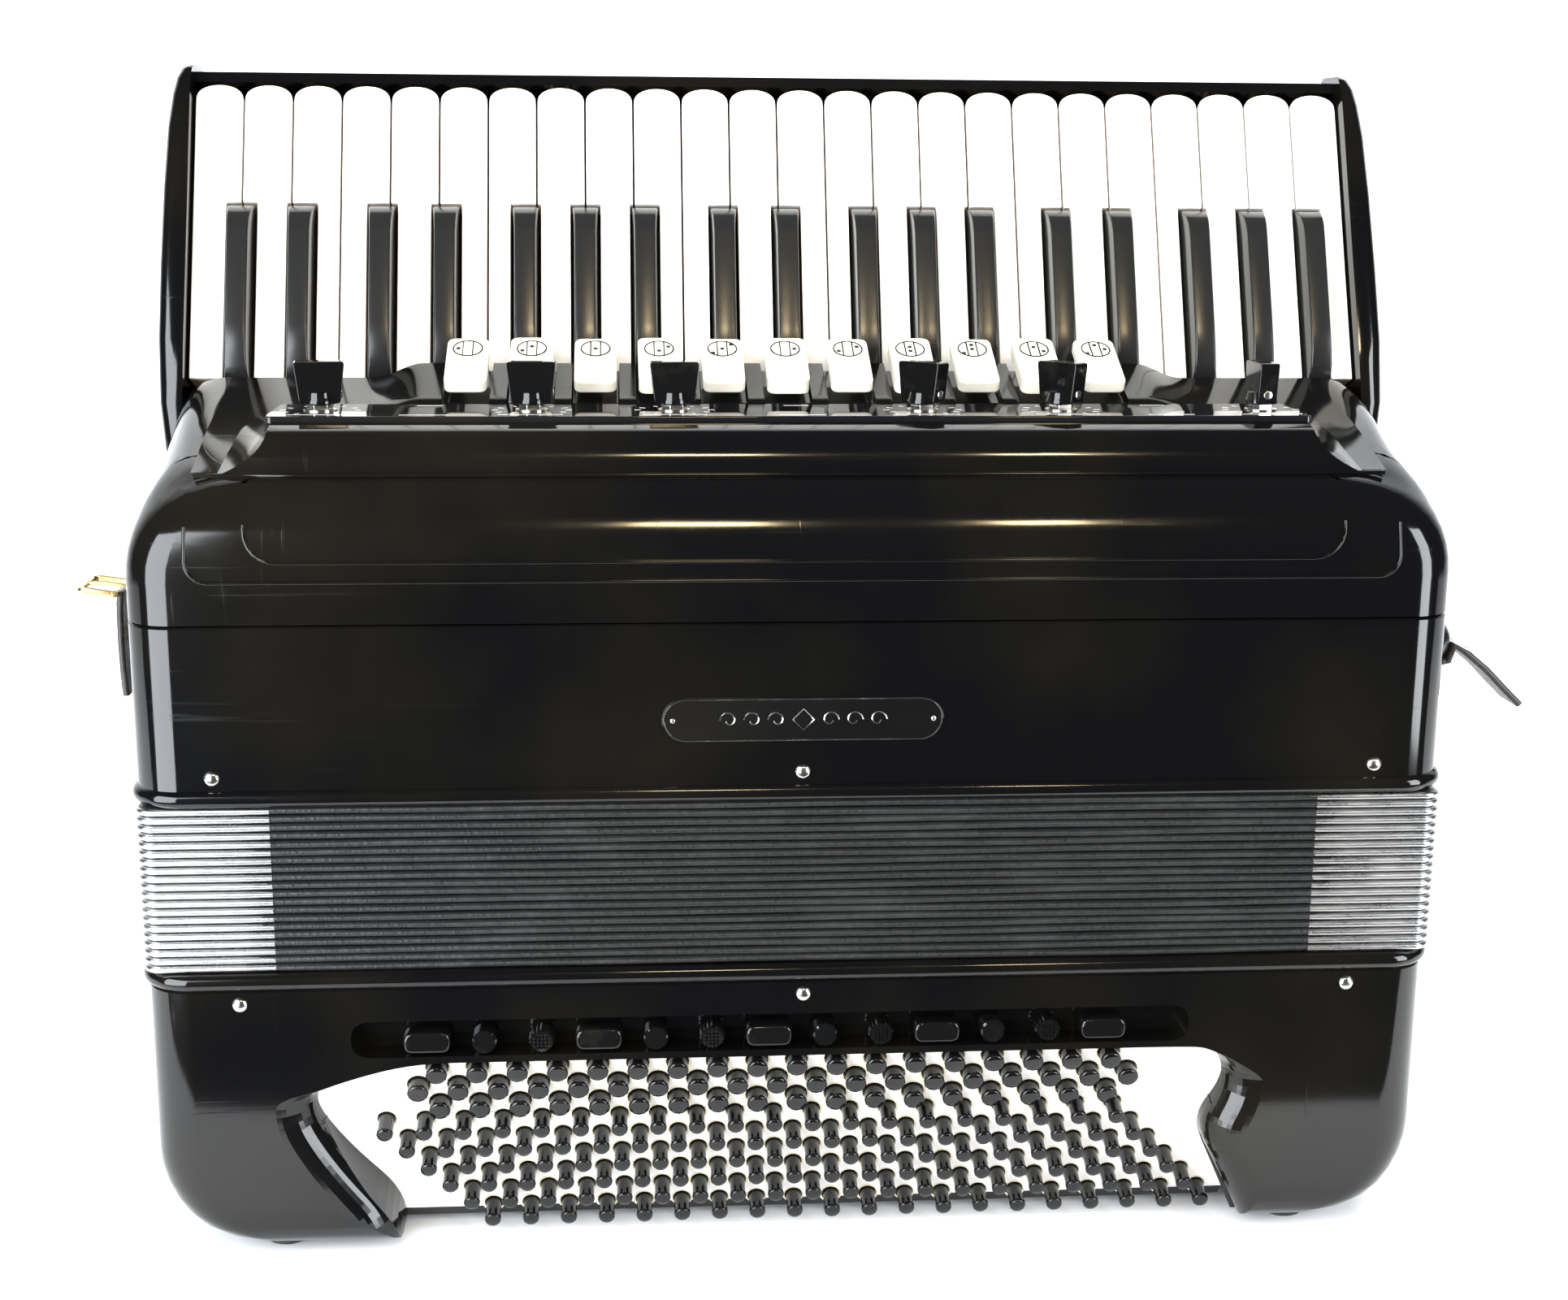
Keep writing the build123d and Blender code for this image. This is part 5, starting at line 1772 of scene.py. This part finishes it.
@dataclass
class SideFittings:
    """Closing straps with their studs and buckle, and the loops for the shoulder straps."""

    y: float = 60.0
    stud_z: float = 240.7
    snap_z: float = 233.7
    buckle_z: float = 259.6
    slope: float = 43.0

    def build(self) -> None:
        """Builds the leathers, the stitches and the metal."""
        self.build_leathers()
        self.build_stitches()
        self.build_buckle()
        self.build_snap()
        self.build_loops()

    def build_leathers(self) -> None:
        """The left strap, the right strap with its flap and the tongue between them."""
        bm = bmesh.new()
        lines = (([(-259.4, 260), (-260.2, 252), (-260.4, 240), (-260.2, 228), (-259.6, 218.5)], 48.5, 71.5, 2.4),
                 ([(267.5, 226), (270, 232.5), (276, 229), (284, 222.5), (292, 214.5), (299, 207.8)], 52.5, 71.5, 2.6),
                 ([(259.6, 241.5), (260.4, 230), (260.2, 214), (260.6, 200), (259.4, 188.5)], 48.5, 71.5, 2.4),
                 ([(260, 226), (264, 225.5), (268.5, 226.5)], 53, 71, 2.4))
        for line in lines:
            self.leather(bm, *line)
        SHOP.piece(bm, "closing_leathers", Finish.LEATHER, TREBLE, ["bellows_straps"], 60)

    def build_stitches(self) -> None:
        """Two rows of stitches on the flap and two on the left strap."""
        bm = bmesh.new()
        turn = Matrix.Rotation(math.radians(self.slope), 4, "Y")
        for y in (54.6, 69.4):
            for k in range(9):
                x, z = 275 + 2.7 * k, 231.8 - 2.55 * k
                block(bm, (x - 0.8, y - 0.25, z - 0.2), (x + 0.8, y + 0.25, z + 0.2), 0, turn)
            for k in range(10):
                block(bm, (-261.9, y - 3.4, 221 + 3.6 * k), (-261.5, y - 2.9, 223 + 3.6 * k), 0)
        SHOP.piece(bm, "leather_stitches", Finish.THREAD, TREBLE)

    def build_buckle(self) -> None:
        """The left stud and the buckle with its prong."""
        bm = bmesh.new()
        matrix = frame_at(Body.at(-CASE_HALF_W, self.y, self.stud_z), (-1, 0, 0))
        turned(bm, [(0, -1), (3.2, -1), (3.2, 8.6), (0, 8.6)], matrix, 14)
        turned(bm, [(0, 11.4), (4.6, 11.4), (4.6, 11.9), (3.4, 13.4), (1.6, 14.2), (0, 14.4)], matrix, 18)
        outline = rounded_polygon([(-274.6, 47.5), (-260, 47.5), (-260, 72.5), (-274.6, 72.5)], 3.0, 3)
        tube(bm, [Body.at(x, y, self.buckle_z + 0.9 * math.sin((x + 250) * 0.2)) for x, y in outline], 1.35, 8,
             ring=True)
        prong = ((-260, self.buckle_z), (-268, self.buckle_z + 1.3), (-274.4, self.buckle_z + 1.3))
        tube(bm, [Body.at(x, self.y, z) for x, z in prong], 0.9, 8)
        SHOP.piece(bm, "buckle_and_stud", Finish.BRASS, TREBLE, ["strap_studs"])

    def build_snap(self) -> None:
        """The dark disc on its post that the right strap snaps over."""
        bm = bmesh.new()
        matrix = frame_at(Body.at(CASE_HALF_W, self.y, self.snap_z), (1, 0, 0))
        turned(bm, [(0, -1), (3.8, -1), (3.8, 11.8), (0, 11.8)], matrix, 14)
        turned(bm, [(0, 11.4), (9.6, 11.4), (10.2, 12.4), (9.4, 14.6), (7.4, 17.6), (4.2, 19.4), (0, 20.0)], matrix, 24)
        SHOP.piece(bm, "snap_disc", Finish.SNAP, TREBLE)

    def build_loops(self) -> None:
        """Four plates with wire loops for the shoulder straps, on the back."""
        bm = bmesh.new()
        for x in (-150, 150):
            for z in (212, 238):
                block(bm, (x - 16, 190, z - 6), (x + 16, 191.5, z + 6), 0.5)
                bow = [(-13, 191), (-13, 193.6), (-11.6, 194.7), (11.6, 194.7), (13, 193.6), (13, 191)]
                tube(bm, [Body.at(x + u, v, z) for u, v in bow], 1.1, 8)
        SHOP.piece(bm, "shoulder_loops", Finish.NICKEL, TREBLE, ["shoulder_brackets"])

    def leather(self, bm: bmesh.types.BMesh, line: Sequence[Point2], y0: float, y1: float, thick: float) -> None:
        """A strip of leather.

        Args:
            bm: the mesh to add to.
            line: its middle line as (X, Z) points.
            y0: its front edge.
            y1: its back edge.
            thick: its thickness.
        """
        sections = []
        for i, (x, z) in enumerate(line):
            a, b = Vector(line[max(i - 1, 0)]), Vector(line[min(i + 1, len(line) - 1)])
            normal = (b - a).normalized().orthogonal() * thick / 2
            ring = [(y0, 0.4), (y0 + 0.7, 1), (y1 - 0.7, 1), (y1, 0.4), (y1, -0.4), (y1 - 0.7, -1), (y0 + 0.7, -1),
                    (y0, -0.4)]
            sections.append([Body.at(x + normal.x * t, y, z + normal.y * t) for y, t in ring])
        loft(bm, sections)


class Inside:
    """The works that show only when the ends part or from below."""

    finishes = {
        "bass_reed_blocks": Finish.SPRUCE, "treble_reed_blocks": Finish.SPRUCE, "bass_soundboard": Finish.ALUMINIUM,
        "treble_soundboard": Finish.ALUMINIUM, "bass_machine": Finish.STEEL, "key_axle": Finish.STEEL,
    }

    def build(self) -> None:
        """Dresses the CAD nodes that stay."""
        for node, finish in self.finishes.items():
            SHOP.dress(node, finish)


# ---------------------------------------------------------------------------------------------
# Room
# ---------------------------------------------------------------------------------------------
@dataclass
class Studio:
    """Camera, soft lights, pale floor and backdrop."""

    lens: float = 49.06
    eye: tuple[float, float, float] = (-77.0, -868.75, 421.0)
    yaw: float = 4.26
    pitch: float = 12.77
    roll: float = 0.44

    def camera(self) -> None:
        """Places the camera."""
        yaw, pitch, roll = (math.radians(v) for v in (self.yaw, self.pitch, self.roll))
        ahead = Vector((math.sin(yaw) * math.cos(pitch), math.cos(yaw) * math.cos(pitch), -math.sin(pitch)))
        level = ahead.cross(Vector((0, 0, 1))).normalized()
        rise = level.cross(ahead)
        right = level * math.cos(roll) + rise * math.sin(roll)
        up = rise * math.cos(roll) - level * math.sin(roll)
        data = bpy.data.cameras.new("view")
        data.lens, data.sensor_width, data.sensor_fit = self.lens, 36.0, "HORIZONTAL"
        data.clip_start, data.clip_end = 0.01, 50.0
        eye = bpy.data.objects.new("view", data)
        turn = Matrix((right, up, -ahead)).transposed()
        eye.matrix_world = Matrix.Translation(Vector(self.eye) * MM) @ turn.to_4x4()
        bpy.context.scene.collection.objects.link(eye)
        bpy.context.scene.camera = eye

    def lamp(self, name: str, place: Sequence[float], target: Sequence[float], size: Point2, power: float,
             colour: Sequence[float] = (1, 1, 1), glossy: bool = True) -> None:
        """One soft rectangular light.

        Args:
            name: its name.
            place: where it hangs, in metres.
            target: the point that it faces.
            size: its width and height.
            power: its watts.
            colour: its colour.
            glossy: False for a fill that doesn't show in the gloss.
        """
        data = bpy.data.lights.new(name, "AREA")
        data.shape, data.size, data.size_y, data.energy, data.color = "RECTANGLE", size[0], size[1], power, colour
        made = bpy.data.objects.new(name, data)
        made.location = place
        made.visible_glossy = glossy
        made.rotation_euler = (Vector(target) - Vector(place)).to_track_quat("-Z", "Y").to_euler()
        bpy.context.scene.collection.objects.link(made)

    def build(self) -> None:
        """Builds the lights, the sky and the floor."""
        cool, plain, warm = (0.90, 0.95, 1.0), (1.0, 0.99, 0.97), (1.0, 0.78, 0.44)
        self.lamp("left", (-0.98, -1.05, 0.40), (0, -0.1, 0.25), (1.1, 1.5), 56, cool)
        self.lamp("right", (1.15, -0.95, 0.45), (0, -0.1, 0.25), (0.55, 1.2), 24, (0.92, 0.96, 1.0))
        self.lamp("top", (0.0, 0.35, 1.9), (0, 0, 0.2), (2.2, 1.4), 62, plain, False)
        self.lamp("front", (-0.1, -1.7, 0.9), (0, 0, 0.2), (1.2, 0.9), 25, plain, False)
        self.lamp("warm_left", (0.0, -1.25, 1.25), (0, 0, 0.3), (0.13, 0.10), 2.6, warm)
        self.lamp("warm_right", (0.37, -1.25, 1.25), (0, 0, 0.3), (0.09, 0.10), 1.8, warm)
        self.build_sky()
        self.build_floor()
        bpy.context.scene.view_settings.view_transform = "Standard"

    def build_sky(self) -> None:
        """A sky that is white to the camera and dim to everything else."""
        world = bpy.data.worlds.new("sky")
        world.use_nodes = True
        nodes, links = world.node_tree.nodes, world.node_tree.links
        seen, mix, white = (nodes.new(f"ShaderNode{kind}") for kind in ("LightPath", "MixShader", "Background"))
        dim = nodes["Background"]
        dim.inputs["Color"].default_value, dim.inputs["Strength"].default_value = (0.85, 0.92, 1.0, 1), 0.06
        white.inputs["Color"].default_value, white.inputs["Strength"].default_value = (0.98, 0.985, 1.0, 1), 1.0
        links.new(seen.outputs["Is Camera Ray"], mix.inputs[0])
        links.new(dim.outputs[0], mix.inputs[1])
        links.new(white.outputs[0], mix.inputs[2])
        links.new(mix.outputs[0], nodes["World Output"].inputs[0])
        bpy.context.scene.world = world

    def build_floor(self) -> None:
        """A pale cloth with a wavy front hem that curves up into the backdrop."""
        bend, bend_y, top = 0.6, 0.5, 2.2
        profile = [(0.0, 0.0), (bend_y, 0.0)] + [(bend_y + bend * s, bend - bend * c) for c, s in fan(9, 9, 10)]
        profile.append((bend_y + bend, top))
        bm = bmesh.new()
        sections = []
        for x in [0.05 * k for k in range(-60, 61)]:
            hem = -0.225 + 0.022 * math.sin(9 * x + 0.6) + 0.012 * math.sin(23 * x)
            sections.append([Vector((x, hem, 0.0))] + [Vector((x, y, z)) for y, z in profile])
        loft(bm, sections, closed=False)
        mesh = bpy.data.meshes.new("floor")
        bm.to_mesh(mesh)
        bm.free()
        mesh.shade_smooth()
        floor = bpy.data.objects.new("floor", mesh)
        g = Graph("pale_cloth")
        tint = g.blend(g.noise(3.0, 3.0) * 0.2, (0.90, 0.91, 0.93, 1), (0.84, 0.85, 0.88, 1))
        floor.data.materials.append(g.finish(base_color=tint, roughness=0.9))
        bpy.context.scene.collection.objects.link(floor)


def main() -> None:
    """Builds the whole accordion, part by part."""
    logging.basicConfig(level=logging.INFO, format="%(name)s %(message)s")
    studio = Studio()
    studio.camera()
    studio.build()
    for part in (TrebleCase, Cover, Knobs, Switches, Keyboard, KeyboardFrame, Bellows):
        part().build()
    case = BassCase()
    case.build()
    for row in ButtonRow.table():
        row.build(case)
    for part in (BassSwitches, Underside, SideFittings, Inside):
        part().build()


if __name__ == "__main__":
    main()
